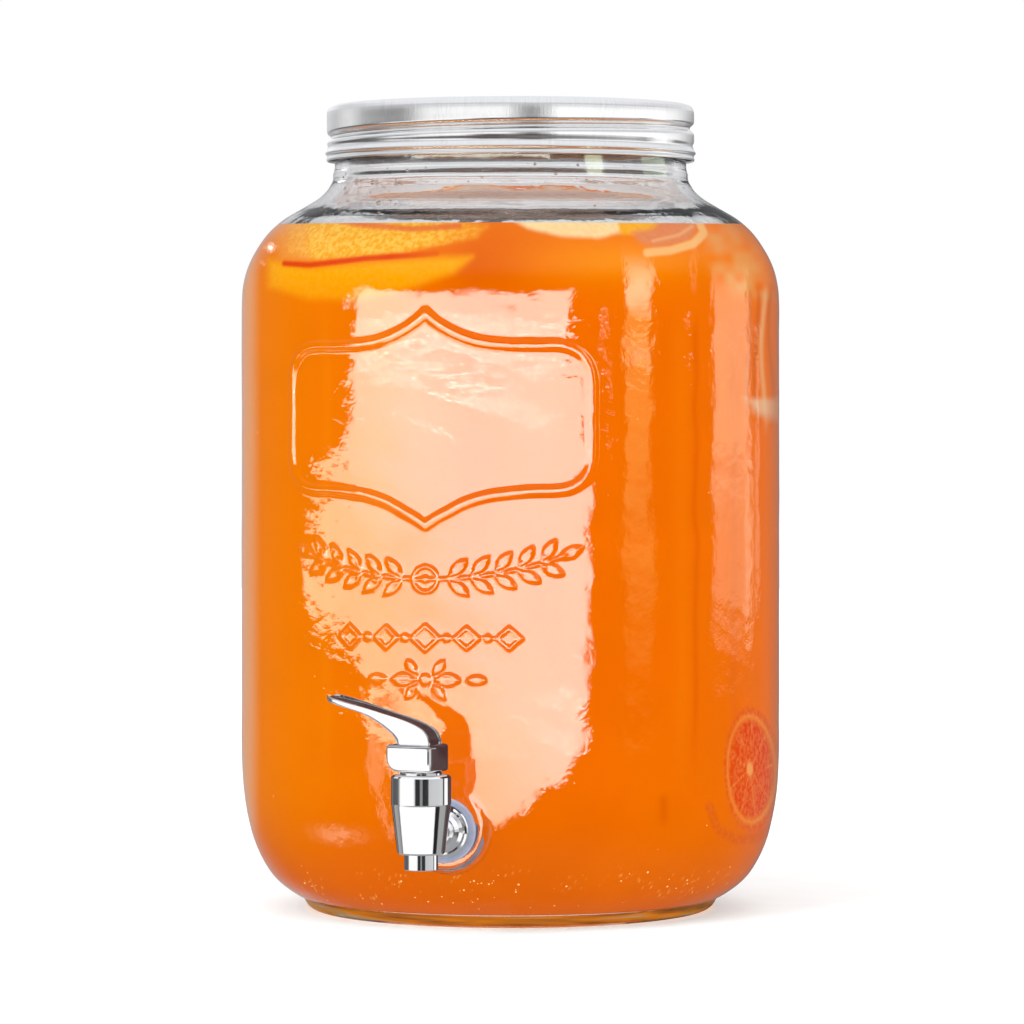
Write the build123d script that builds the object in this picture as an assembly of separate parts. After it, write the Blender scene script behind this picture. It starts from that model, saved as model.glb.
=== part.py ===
from build123d import *

# Glass dispenser jar with a screw lid and a push-lever tap.
#
# Millimetres, +Z up, origin at the centre of the base ring on the table.
# The tap points towards -Y. Each separate physical piece is one STEP file.
import math
import os

# ---------------------------------------------------------------- jar and lid
BODY_R = 110.0          # outer radius of the glass body
WALL = 4.5              # glass wall of the body
SHOULDER_Z = 245.0      # top of the straight body wall
NECK_R = 72.0           # outer radius of the glass neck
MOUTH_R = 67.0          # inner radius of the glass neck
JAR_TOP = 325.0         # height of the glass rim
LID_TOP = 328.4
LID_BOTTOM = 305.5
LID_IN_R = 74.65        # lid wall, inside
LID_OUT_R = 75.15       # lid wall, outside
THREAD_PITCH = 8.0      # lid thread, mm per turn, right-handed
THREAD_TURNS = 1.25
THREAD_Z = 309.2        # start of the glass thread
THREAD_DROP = 1.8       # the lid rib sits this far below the glass rib

# Raised label frame: a flat rib that follows the body
LABEL_TURN = -4.0       # rotation about Z from -Y; negative is towards -X
LABEL_RIB_HALF = 2.5    # half the rib width
LABEL_PROUD = 1.2       # height of the rib above the body
LABEL_EMBED = 0.8       # depth of the rib inside the glass
LABEL_TIP_STRETCH = 1.18  # extra offset at the top and bottom points

# ---------------------------------------------------------------- tap along Y
TAP_Z = 41.0            # height of the tap hole
TAP_HOLE_R = 8.25
PAD_Y = -109.6          # outer flat of the glass boss
SPOT_Y = -103.6         # inner flat of the glass boss
OUTER_GASKET_T = 2.6    # thicknesses of the parts clamped on the shank
INNER_GASKET_T = 2.4
BACKING_T = 1.5
FLANGE_T = 2.2          # flange of the tap body
SHANK_Y = PAD_Y - OUTER_GASKET_T        # start of the shank
FLANGE_Y = SHANK_Y - FLANGE_T
BACKING_Y = SPOT_Y + INNER_GASKET_T
NUT_Y = BACKING_Y + BACKING_T
NUT_T = 6.5
NUT_FLAT_R = 12.0       # centre of the nut to a flat
SHANK_R = 8.0           # shank thread, crest radius
SHANK_ROOT_R = 7.4
SHANK_PITCH = 1.5
SHANK_CLEARANCE = 0.08  # radial gap between the nut thread and the shank thread

# ---------------------------------------------------------------- tap barrel and valve
BARREL_Y = -146.0       # axis of the tap barrel
BARREL_R = 11.5
BARREL_TOP = 65.0
BAND_Z = 54.3           # lower edge of the cylindrical band
TAPER_Z = 35.1          # lower edge of the taper
TAPER_R = 9.2
NOZZLE_R = 6.5
NOZZLE_Z = 29.0         # lower end of the nozzle
SEAT_Z = 37.0
STEM_R = 2.5
DISC_Z, DISC_TOP = 41.2, 42.4           # disc on the stem
SPRING_R, WIRE_R = 4.1, 0.42
SPRING_Z0, SPRING_Z1 = 42.9, 56.7
COILS = 6.0

# ---------------------------------------------------------------- lever, local +X along the lever
LEVER_ANGLE = 167.3     # direction of the lever in plan, degrees from +X
PIN_Z = 72.0            # lever pin height
PIN_R = 1.25
PIN_LENGTH = 13.4
EYE_R = 2.6             # rounded top of the stem, round the pin
EYE_WIDTH = 4.4
HOOD_X0, HOOD_X1 = -7.8, 11.1
HOOD_Z0, HOOD_Z1 = 66.5, 77.0
HOOD_WIDTH = 16.5
CAM_X = 5.6             # centre of the cam radius, ahead of the pin
CAM_R = 5.5

ON_BARREL = Pos(0, BARREL_Y, 0)
ON_LEVER = ON_BARREL * Rot(0, 0, LEVER_ANGLE)

# ---------------------------------------------------------------- outlines
# Glass profile, (radius, z)
OUTER_LOW = [
    (84.6, 5.2), (88.4, 7.0), (92.8, 9.8), (96.6, 13.4), (100.0, 18.0), (102.8, 23.2),
    (105.3, 29.6), (107.1, 36.6), (108.5, 44.0), (109.5, 53.5)]
OUTER_HIGH = [
    (109.5, 254.0), (107.7, 261.6), (104.1, 269.0), (98.9, 276.3), (92.6, 281.8),
    (84.8, 286.4), (77.6, 291.0), (73.4, 296.0)]
INNER_LOW = [
    (82.0, 6.9), (90.0, 11.0), (96.3, 18.6), (100.6, 28.2), (103.3, 39.4), (104.9, 51.0)]
INNER_HIGH = [
    (104.9, 254.6), (103.0, 261.0), (99.4, 267.4), (94.4, 273.2), (88.6, 277.8),
    (81.0, 281.8), (73.8, 286.6), (69.0, 292.6)]

# Centre line of the +X half of the label rib, top to bottom, (distance round the body, z)
LABEL_HALF = [
    (0, 241.8), (3.4, 239.0), (7, 236.6), (13.3, 233.4), (20.6, 231.0), (29.5, 229.8),
    (43, 229.4), (52, 229.4), (57.4, 228.3), (62, 225.3), (65.0, 220.6), (66, 215.4),
    (66, 201), (66, 187), (65.0, 181.6), (62, 177), (57.4, 174), (52, 173), (43, 172.8),
    (34, 172.0), (25, 170.8), (16, 168.1), (8.8, 164.4), (4.2, 162.0), (0, 159.2)]

# Side view of the lever blade, (x, z)
BLADE_TOP = [
    (-6.3, 76.0), (-6.2, 78.0), (-5.5, 80.2), (-3.9, 82.2), (-0.9, 84.0), (4.9, 86.1),
    (12.5, 88.1), (20.0, 90.1), (27.6, 92.0), (38.6, 94.9)]
BLADE_TIP = [(38.6, 94.9), (39.7, 94.0), (38.9, 92.9)]
BLADE_LOW = [
    (38.9, 92.9), (31.0, 90.7), (25.0, 89.1), (20.6, 87.5), (16.6, 85.3), (12.9, 82.9),
    (10.0, 80.6), (8.3, 78.4), (7.6, 76.0)]

# Plan of the -Y edge of the blade, from the hood to the tip, (x, y)
BLADE_EDGE = [(10, -5.3), (20, -5.9), (30, -6.9), (35.6, -6.6), (39.2, -3.4), (39.9, 0)]


# ---------------------------------------------------------------- helpers
def xz(x, z):
    return Vector(x, 0, z)


def line(start, end):
    return Line(xz(*start), xz(*end))


def spline(points, *tangents):
    """Spline through (x, z) points; tangents are its (x, z) end directions, if given."""
    return Spline(*[xz(*p) for p in points], tangents=[(x, 0, z) for x, z in tangents] or None)


def polygon(points):
    return make_face(Polyline(*points, close=True))


def turned(points):
    """Closed polygon of (radius, z) points revolved about Z."""
    return revolve(polygon([xz(*p) for p in points]), axis=Axis.Z)


def along_y(shape, y0):
    """Lays a shape built up from z=0 so that it runs from y0 towards +Y on the tap hole axis."""
    return Pos(0, y0, TAP_Z) * Rot(-90, 0, 0) * shape


def cyl(r, z0, z1):
    return Pos(0, 0, (z0 + z1) / 2) * Cylinder(r, z1 - z0)


def ring(r_out, r_in, z0, z1):
    return cyl(r_out, z0, z1) - cyl(r_in, z0 - 1, z1 + 1)


def block(x0, x1, width, z0, z1):
    """Box centred on y=0."""
    return Pos((x0 + x1) / 2, 0, (z0 + z1) / 2) * Box(x1 - x0, width, z1 - z0)


def cross_cyl(r, length, x=0):
    """Cylinder along Y at the height of the lever pin."""
    return Pos(x, 0, PIN_Z) * Rot(90, 0, 0) * Cylinder(r, length)


def largest(shape):
    return shape.solids().sort_by(SortBy.VOLUME)[-1]


def lid_thread(radius, z0, section):
    """Helical rib; section holds (offset from radius, offset along the axis)."""
    path = Pos(0, 0, z0) * Helix(THREAD_PITCH, THREAD_PITCH * THREAD_TURNS, radius)
    plane = Plane(origin=path @ 0, x_dir=(1, 0, 0), z_dir=path % 0)
    profile = polygon([plane.from_local_coords(Vector(out, up, 0)) for out, up in section])
    return sweep(profile, path=path, is_frenet=True)


def shank_teeth(turns, clearance=0.0, z_shift=0.0):
    """Profile points of the annular shank teeth, (radius, z)."""
    root, crest = SHANK_ROOT_R + clearance, SHANK_R + clearance
    tooth = [(root, 1.4), (crest, 1.95), (crest, 2.15), (root, 2.7)]
    return [(r, z + SHANK_PITCH * k - z_shift) for k in turns for r, z in tooth]


# ---------------------------------------------------------------- glass jar
def jar_shell():
    in_r = BODY_R - WALL
    lip_z = JAR_TOP - 1.6       # where the rounding of the rim starts
    outer_foot, inner_foot = (BODY_R, 66), (in_r, 62)
    outer_shoulder, inner_shoulder = (BODY_R, SHOULDER_Z), (in_r, SHOULDER_Z)
    rim_out, rim_in = (NECK_R - 1.8, JAR_TOP), (MOUTH_R + 1.8, JAR_TOP)
    up, down, inward = (0, 1), (0, -1), (-1, 0)
    edges = [
        # underside and base ring
        line((0, 2.4), (52, 1.9)),
        spline([(52, 1.9), (60, 1.3), (67, 0.0)], (1, -0.03), (1, -0.25)),
        line((67, 0), (80.6, 0)),
        spline([(80.6, 0), (83.2, 1.3), (84.2, 3.2), (84.6, 5.2)], (1, 0.15), (0.05, 1)),
        # outside, upwards
        spline(OUTER_LOW + [outer_foot], (1, 0.28), up),
        line(outer_foot, outer_shoulder),
        spline([outer_shoulder, *OUTER_HIGH, (NECK_R, 303)], up, up),
        line((NECK_R, 303), (NECK_R, lip_z)),
        # rim
        spline([(NECK_R, lip_z), (NECK_R - 0.6, JAR_TOP - 0.45), rim_out], up, inward),
        line(rim_out, rim_in),
        spline([rim_in, (MOUTH_R + 0.6, JAR_TOP - 0.45), (MOUTH_R, lip_z)], inward, down),
        # inside, downwards
        line((MOUTH_R, lip_z), (MOUTH_R, 302)),
        spline([(MOUTH_R, 302), *reversed(INNER_HIGH), inner_shoulder], down, down),
        line(inner_shoulder, inner_foot),
        spline([inner_foot, *reversed(INNER_LOW), (70, 5.7)], down, (-1, -0.02)),
        line((70, 5.7), (0, 6.3)),
        line((0, 6.3), (0, 2.4)),
    ]
    return revolve(make_face(edges), axis=Axis.Z)


def offset_label(distance):
    """Half outline of the label moved outward along its normals."""
    moved = []
    last = len(LABEL_HALF) - 1
    for i, (s, z) in enumerate(LABEL_HALF):
        before, after = LABEL_HALF[max(i - 1, 0)], LABEL_HALF[min(i + 1, last)]
        ds, dz = after[0] - before[0], after[1] - before[1]
        length = math.hypot(ds, dz)
        if i in (0, last):
            side = 1 if i == 0 else -1
            moved.append((0.0, z + side * distance * LABEL_TIP_STRETCH))
        else:
            moved.append((s - dz / length * distance, z + ds / length * distance))
    return moved


def label_face(distance):
    """Label outline seen along Y, with distances round the body turned into x."""
    points = [(BODY_R * math.sin(s / BODY_R), z) for s, z in offset_label(distance)]
    return make_face([spline(points), spline([(-x, z) for x, z in reversed(points)])])


def label_frame():
    outline = label_face(LABEL_RIB_HALF) - label_face(-LABEL_RIB_HALF)
    prism = Pos(0, -60, 0) * extrude(outline, amount=-70, dir=(0, 1, 0))
    return prism & ring(BODY_R + LABEL_PROUD, BODY_R - LABEL_EMBED, 150, 250)


def glass_jar():
    jar = jar_shell()
    # boss with an outer pad, an inner spot face and the tap hole
    jar += along_y(cyl(15.2, 0, SPOT_Y - PAD_Y), PAD_Y)
    jar -= along_y(cyl(14.6, 0, 18), SPOT_Y)
    jar -= along_y(cyl(TAP_HOLE_R, 0, 30), PAD_Y - 5)
    jar += lid_thread(NECK_R, THREAD_Z, [(-0.6, -1.75), (2.1, -0.75), (2.1, 0.75), (-0.6, 1.75)])
    for rib in label_frame().solids():
        jar += Rot(0, 0, LABEL_TURN) * rib
    return largest(jar)


# ---------------------------------------------------------------- lid
def lid_shell():
    lid = turned([
        # outside, from the centre of the top to the rolled lower edge
        (0, LID_TOP - 1.0), (66.0, LID_TOP - 1.0), (67.4, LID_TOP), (73.2, LID_TOP),
        (74.6, LID_TOP - 0.6), (LID_OUT_R, LID_TOP - 2.0), (LID_OUT_R, 310.4),
        (75.7, 309.4), (75.85, 308.8), (75.5, 308.2), (75.75, 307.2), (75.6, 306.0),
        (75.3, LID_BOTTOM), (75.0, LID_BOTTOM),
        # inside, back up to the centre
        (LID_IN_R, 306.3), (LID_IN_R, LID_TOP - 2.3), (73.9, LID_TOP - 0.9),
        (73.0, LID_TOP - 0.5), (67.6, LID_TOP - 0.5), (66.2, LID_TOP - 1.5),
        (0, LID_TOP - 1.5)])
    lid += lid_thread(LID_IN_R, THREAD_Z - THREAD_DROP,
                      [(0.25, -1.15), (0.25, 1.15), (-1.4, 0.6), (-1.4, -0.6)])
    return lid


def lid_gasket():
    return turned([
        (65.6, 325.4), (66.4, 325.04), (73.0, 325.04), (73.4, 325.5), (73.4, 327.2),
        (72.9, 327.86), (67.6, 327.86), (66.3, 326.86), (65.6, 326.86)])


# ---------------------------------------------------------------- washers and nut on the shank
def outer_gasket():
    top = OUTER_GASKET_T
    return along_y(turned([
        (8.1, 0), (12.3, 0), (12.7, 0.4), (12.7, 2.0), (12.1, top), (8.1, top)]), SHANK_Y)


def inner_gasket():
    return along_y(ring(12.4, 8.1, 0, INNER_GASKET_T), SPOT_Y)


def backing_washer():
    return along_y(turned([
        (8.15, 0), (12.6, 0), (12.6, 1.0), (12.1, BACKING_T), (8.15, BACKING_T)]), BACKING_Y)


def lock_nut():
    # hexagon with its corners chamfered by a turned blank
    nut = extrude(RegularPolygon(NUT_FLAT_R, 6, major_radius=False), amount=NUT_T) & turned([
        (0, 0), (13.2, 0), (13.9, 0.7), (13.9, 5.8), (13.2, NUT_T), (0, NUT_T)])
    # the nut teeth line up with those of the shank
    bore_r = SHANK_ROOT_R + SHANK_CLEARANCE
    teeth = shank_teeth(range(7, 12), SHANK_CLEARANCE, NUT_Y - SHANK_Y)
    nut -= turned([(0, -1), (bore_r, -1), *teeth, (bore_r, 9), (0, 9)])
    nut += ring(13.0, NUT_FLAT_R, 0, 1.2)
    return along_y(nut, NUT_Y)


# ---------------------------------------------------------------- tap body and nozzle
def tap_body():
    barrel = ON_BARREL * turned([
        (0, TAPER_Z), (TAPER_R - 0.6, TAPER_Z), (TAPER_R, TAPER_Z + 0.7),
        (BARREL_R - 0.15, BAND_Z - 0.5), (BARREL_R, BAND_Z), (BARREL_R, BARREL_TOP - 0.6),
        (BARREL_R - 0.6, BARREL_TOP), (0, BARREL_TOP)])
    reach = FLANGE_Y - BARREL_Y
    neck = along_y(turned([
        (0, 0), (5.8, 0), (5.8, reach - 2.4), (7.1, reach - 0.7), (8.4, reach),
        (8.4, reach + 0.2), (0, reach + 0.2)]), BARREL_Y)
    flange = along_y(turned([
        (0, 0), (9.2, 0), (10.0, 0.35), (10.4, 1.0), (10.4, FLANGE_T), (0, FLANGE_T)]), FLANGE_Y)
    shank = along_y(turned([
        (0, 0), (SHANK_ROOT_R, 0), *shank_teeth(range(12)),
        (SHANK_ROOT_R, 19.6), (7.0, 20.2), (0, 20.2)]), SHANK_Y)
    body = barrel + neck + flange + shank
    body -= along_y(cyl(4.0, 0, 60), BARREL_Y)          # water way
    for r, z0, z1 in [
        (7.0, SEAT_Z, 58),                              # valve chamber
        (6.35, TAPER_Z - 1, SEAT_Z + 0.01),             # nozzle seat
        (9.05, 57, BARREL_TOP + 1),                     # bonnet bore
        (10.05, 63.9, BARREL_TOP + 1),                  # bonnet flange recess
    ]:
        body -= ON_BARREL * cyl(r, z0, z1)
    return largest(body)


def spout_nozzle():
    return ON_BARREL * turned([
        (4.2, SEAT_Z - 0.9), (4.2, SEAT_Z - 2.6), (5.3, SEAT_Z - 3.4), (5.3, NOZZLE_Z + 0.5),
        (5.6, NOZZLE_Z), (6.2, NOZZLE_Z), (NOZZLE_R, NOZZLE_Z + 0.3), (NOZZLE_R, 35.0),
        (6.3, 35.0), (6.3, SEAT_Z - 0.25), (6.1, SEAT_Z - 0.02), (5.2, SEAT_Z - 0.02),
        (5.2, SEAT_Z - 0.9)])


# ---------------------------------------------------------------- bonnet, seal and collar
def bonnet():
    return ON_BARREL * turned([
        (2.62, 57.2), (7.4, 57.2), (8.6, 57.2), (9.0, 57.6), (9.0, 63.95), (10.0, 63.95),
        (10.0, 64.6), (9.6, BARREL_TOP), (2.62, BARREL_TOP),
        (2.62, 62.2), (3.9, 62.2), (3.9, 60.8), (2.62, 60.8)])      # seal groove


def stem_seal_ring():
    return Pos(0, BARREL_Y, 61.5) * Torus(3.2, 0.66)


def swivel_collar():
    return ON_BARREL * turned([
        (2.64, 65.06), (7.6, 65.06), (8.0, 65.4), (8.0, 66.1), (7.7, 66.4), (5.0, 66.4),
        (4.6, 66.8), (4.6, 67.6), (4.3, 67.9), (2.64, 67.9)])


# ---------------------------------------------------------------- stem, plug, spring and pin
def valve_stem():
    stem = cyl(1.8, SEAT_Z + 1.6, DISC_Z) + cyl(5.4, DISC_Z, DISC_TOP) + cyl(STEM_R, DISC_TOP, 70.4)
    stem += cyl(2.3, SEAT_Z + 1.7, SEAT_Z + 2.5)        # bead held in the plug
    stem += block(-EYE_R, EYE_R, EYE_WIDTH, 69.4, 73.0) + cross_cyl(EYE_R, EYE_WIDTH)
    stem -= cross_cyl(PIN_R + 0.02, 20)
    return ON_LEVER * stem


def valve_plug():
    return ON_BARREL * turned([
        (0, SEAT_Z), (5.5, SEAT_Z), (5.9, SEAT_Z + 0.4), (5.9, SEAT_Z + 1.4), (5.2, 41.15),
        (1.84, 41.15), (1.84, SEAT_Z + 2.54), (2.34, SEAT_Z + 2.54), (2.34, SEAT_Z + 1.56),
        (0, SEAT_Z + 1.56)])


def return_spring():
    height = SPRING_Z1 - SPRING_Z0
    path = Pos(0, 0, SPRING_Z0) * Helix(height / COILS, height, SPRING_R)
    wire = Plane(origin=path @ 0, z_dir=path % 0) * Circle(WIRE_R)
    return ON_BARREL * sweep(wire, path=path, is_frenet=True)


def lever_pin():
    return ON_LEVER * cross_cyl(PIN_R, PIN_LENGTH)


# ---------------------------------------------------------------- lever
def lever_hood():
    hood = block(HOOD_X0, HOOD_X1, HOOD_WIDTH, HOOD_Z0, HOOD_Z1)
    hood = fillet(hood.edges().filter_by(Axis.Z), 2.0)
    # round the low +X corner to the cam radius
    hood -= block(CAM_X, CAM_X + 10, 30, PIN_Z - 10, PIN_Z) - cross_cyl(CAM_R, 30, CAM_X)
    return fillet(hood.edges().group_by(Axis.Z)[-1], 1.0)


def lever_blade():
    """Side view and plan view, each extruded, intersected."""
    side = make_face([spline(BLADE_TOP), spline(BLADE_TIP), spline(BLADE_LOW),
                      line(BLADE_LOW[-1], BLADE_TOP[0])])
    blade = Pos(0, 10, 0) * extrude(side, amount=20, dir=(0, -1, 0))
    mirrored = [(x, -y) for x, y in reversed(BLADE_EDGE)]
    plan = make_face([
        Line((-8, -5.4), BLADE_EDGE[0]),
        Spline(*BLADE_EDGE, tangents=[(1, 0), (0, 1)]),
        Spline(*mirrored, tangents=[(0, 1), (-1, 0)]),
        Line(mirrored[-1], (-8, 5.4)),
        Line((-8, 5.4), (-8, -5.4))])
    return blade & (Pos(0, 0, 60) * extrude(plan, amount=50))


def lever():
    body = lever_hood() + lever_blade()
    body -= block(-5.8, 7.6, 10.8, HOOD_Z0 - 1, 75.2)   # cavity open at the bottom
    body -= cross_cyl(PIN_R + 0.05, 13.6)
    body = largest(body)
    blade_edges = [e for e in body.edges() if e.center().Z > 78 and e.length > 6]
    for radius in (0.5, 0.3):
        # The fillet may fail on the spline edges: try a smaller one, else leave them sharp.
        try:
            rounded = fillet(blade_edges, radius)
            if rounded.is_valid and len(rounded.solids()) == 1:
                body = rounded.solids()[0]
                break
        except Exception:
            pass
    return ON_LEVER * body


# ---------------------------------------------------------------- export, each named after its function
os.makedirs("parts", exist_ok=True)
for build in (
    glass_jar, lid_shell, lid_gasket, outer_gasket, inner_gasket, backing_washer, lock_nut,
    tap_body, spout_nozzle, bonnet, stem_seal_ring, swivel_collar, valve_stem, valve_plug,
    return_spring, lever_pin, lever,
):
    piece = build()
    piece.label = build.__name__
    export_step(piece, f"parts/{piece.label}.step")
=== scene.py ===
# A glass juice dispenser: ribbed jar with a raised label frame, tinplate screw lid, orange juice
# and a plated tap. The jar stands on z = 0 with its axis on z, and the tap points to -Y.
# Lengths are in millimetres and scaled by MM where they reach Blender. An azimuth is measured
# from -Y towards +X.
import math
import bpy
import bmesh
import numpy as np
from mathutils import Vector, Matrix

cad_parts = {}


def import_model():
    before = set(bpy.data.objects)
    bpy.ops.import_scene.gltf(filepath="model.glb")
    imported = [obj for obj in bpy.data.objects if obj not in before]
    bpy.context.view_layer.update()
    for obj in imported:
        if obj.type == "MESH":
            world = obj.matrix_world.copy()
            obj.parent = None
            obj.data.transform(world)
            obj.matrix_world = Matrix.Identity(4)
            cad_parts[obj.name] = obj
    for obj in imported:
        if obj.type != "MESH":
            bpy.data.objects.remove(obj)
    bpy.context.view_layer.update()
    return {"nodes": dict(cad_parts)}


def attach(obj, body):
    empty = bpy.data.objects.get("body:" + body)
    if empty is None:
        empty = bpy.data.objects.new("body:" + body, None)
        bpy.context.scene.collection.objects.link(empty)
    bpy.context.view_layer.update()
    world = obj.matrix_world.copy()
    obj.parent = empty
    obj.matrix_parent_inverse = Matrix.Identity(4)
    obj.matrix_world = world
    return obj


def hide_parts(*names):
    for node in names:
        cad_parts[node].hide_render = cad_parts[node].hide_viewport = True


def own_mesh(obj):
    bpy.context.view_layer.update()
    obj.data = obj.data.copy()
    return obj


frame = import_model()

scene = bpy.context.scene

MM = 0.001
CAMERA_AZ = 13.5           # degrees
CAMERA_DISTANCE = 2050.0   # from the jar's axis
CAMERA_Z = 214.0
LABEL_AZ = -4.0            # degrees, middle of the raised decoration
BODY_R = 110.0
TAP_Z = 41.0               # axis of the tap hole
BARREL_Y = -146.0          # axis of the tap's upright barrel
THREAD_PITCH = 8.0
LEVEL = 275.5              # juice level
GLASS_IOR = 1.50
TURN = 2 * math.pi


# ------------------------------------------------------------------ curves and meshes
def sstep(start, end, value):
    """Smooth step from 0 at start to 1 at end; start may be the larger."""
    t = np.clip((np.asarray(value, float) - start) / (end - start), 0, 1)
    return t * t * (3 - 2 * t)


def spline(points, spacing):
    """Centripetal Catmull-Rom through 2-D points, resampled to spacing(point)."""
    p = np.array(points, float)
    p = np.vstack([2 * p[0] - p[1], p, 2 * p[-1] - p[-2]])
    pieces = []
    for i in range(len(p) - 3):
        quad = p[i:i + 4]
        knots = [0.0]
        for a, b in zip(quad, quad[1:]):
            knots.append(knots[-1] + max(np.linalg.norm(b - a), 1e-6) ** 0.5)
        t = np.linspace(knots[1], knots[2], 40, endpoint=False)[:, None]

        def between(a, b, first, last):
            start, end = knots[first], knots[last]
            return (end - t) / (end - start) * a + (t - start) / (end - start) * b

        a1, a2, a3 = (between(quad[k], quad[k + 1], k, k + 1) for k in range(3))
        pieces.append(between(between(a1, a2, 0, 2), between(a2, a3, 1, 3), 1, 2))
    dense = np.vstack(pieces + [p[-2][None]])
    lengths = np.linalg.norm(np.diff(dense, axis=0), axis=1)
    weights = np.array([1.0 / spacing(q) for q in (dense[1:] + dense[:-1]) / 2])
    travelled = np.concatenate([[0], np.cumsum(lengths * weights)])
    count = max(int(math.ceil(travelled[-1])), 2)
    stops = np.linspace(0, travelled[-1], count + 1)
    return np.stack([np.interp(stops, travelled, dense[:, k]) for k in (0, 1)], 1)


def line_distance(x, y, line):
    distance = np.full(x.shape, 1e9)
    for (ax, ay), (bx, by) in zip(line[:-1], line[1:]):
        vx, vy = bx - ax, by - ay
        squared = vx * vx + vy * vy
        if squared < 1e-9:
            continue
        t = np.clip(((x - ax) * vx + (y - ay) * vy) / squared, 0, 1)
        distance = np.minimum(distance, np.hypot(x - ax - t * vx, y - ay - t * vy))
    return distance


def area_distance(x, y, outline):
    """Signed distance to a closed polygon, negative inside."""
    p = np.array(outline, float)
    distance = line_distance(x, y, np.vstack([p, p[:1]]))
    inside = np.zeros(x.shape, bool)
    for (ax, ay), (bx, by) in zip(p, np.roll(p, -1, 0)):
        crosses = (ay > y) != (by > y)
        with np.errstate(divide="ignore", invalid="ignore"):
            inside ^= crosses & (x < (bx - ax) * (y - ay) / (by - ay + 1e-12) + ax)
    return np.where(inside, -distance, distance)


def around(radius, azimuth, z):
    """Points at a radius, azimuth (radians) and height; the last axis is x, y, z."""
    parts = radius * np.sin(azimuth), -radius * np.cos(azimuth), z
    return np.stack(np.broadcast_arrays(*parts), -1)


def sheet(outline, azimuths):
    """Radius, height and azimuth grids of an (r, z) outline turned through the azimuths."""
    azimuth, radius = np.meshgrid(azimuths, outline[:, 0])
    z = np.meshgrid(azimuths, outline[:, 1])[1]
    return radius, z, azimuth


def camera_frame(right, away):
    """World x and y of a place given to the camera's right and away from the camera."""
    ca, sa = math.cos(math.radians(CAMERA_AZ)), math.sin(math.radians(CAMERA_AZ))
    return right * ca - away * sa, right * sa + away * ca


def grid_faces(rows, cols, base=0, wrap=True):
    i = np.arange(rows - 1)[:, None]
    j = np.arange(cols if wrap else cols - 1)[None, :]
    k = (j + 1) % cols
    near, far = base + i * cols, base + (i + 1) * cols
    return np.stack([near + j, near + k, far + k, far + j], -1).reshape(-1, 4)


def bridge(first, second, cols):
    """Quads between two rings, given by the index of each ring's first vertex."""
    j = np.arange(cols)
    k = (j + 1) % cols
    return np.stack([first + j, first + k, second + k, second + j], 1)


def end_fans(first, first_centre, last, last_centre, cols):
    """Triangles that close the first and the last ring, taken in turn."""
    fans = []
    for j in range(cols):
        k = (j + 1) % cols
        fans.append((first_centre, first + k, first + j))
        fans.append((last + j, last + k, last_centre))
    return fans


def link_object(name, mesh):
    ob = bpy.data.objects.new(name, mesh)
    scene.collection.objects.link(ob)
    return ob


def mesh_object(name, points, faces):
    mesh = bpy.data.meshes.new(name)
    mesh.from_pydata((np.asarray(points, float) * MM).tolist(), [], faces)
    mesh.validate()
    mesh.update()
    mesh.polygons.foreach_set("use_smooth", [True] * len(mesh.polygons))
    return link_object(name, mesh)


def bmesh_object(name, bm):
    mesh = bpy.data.meshes.new(name)
    bm.to_mesh(mesh)
    bm.free()
    return link_object(name, mesh)


def face_outwards(ob, merge=None):
    """Make the normals agree, after merging vertices closer than merge (metres)."""
    bm = bmesh.new()
    bm.from_mesh(ob.data)
    if merge:
        bmesh.ops.remove_doubles(bm, verts=bm.verts, dist=merge)
    bmesh.ops.recalc_face_normals(bm, faces=bm.faces)
    bm.to_mesh(ob.data)
    bm.free()
    ob.data.update()


def store_colours(ob, name, rgba):
    attribute = ob.data.attributes.new(name, "FLOAT_COLOR", "POINT")
    attribute.data.foreach_set("color", rgba.astype(np.float32).ravel())


def give(ob, shader, body=None):
    ob.data.materials.clear()
    ob.data.materials.append(shader.block)
    if body:
        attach(ob, body)
    return ob


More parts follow.
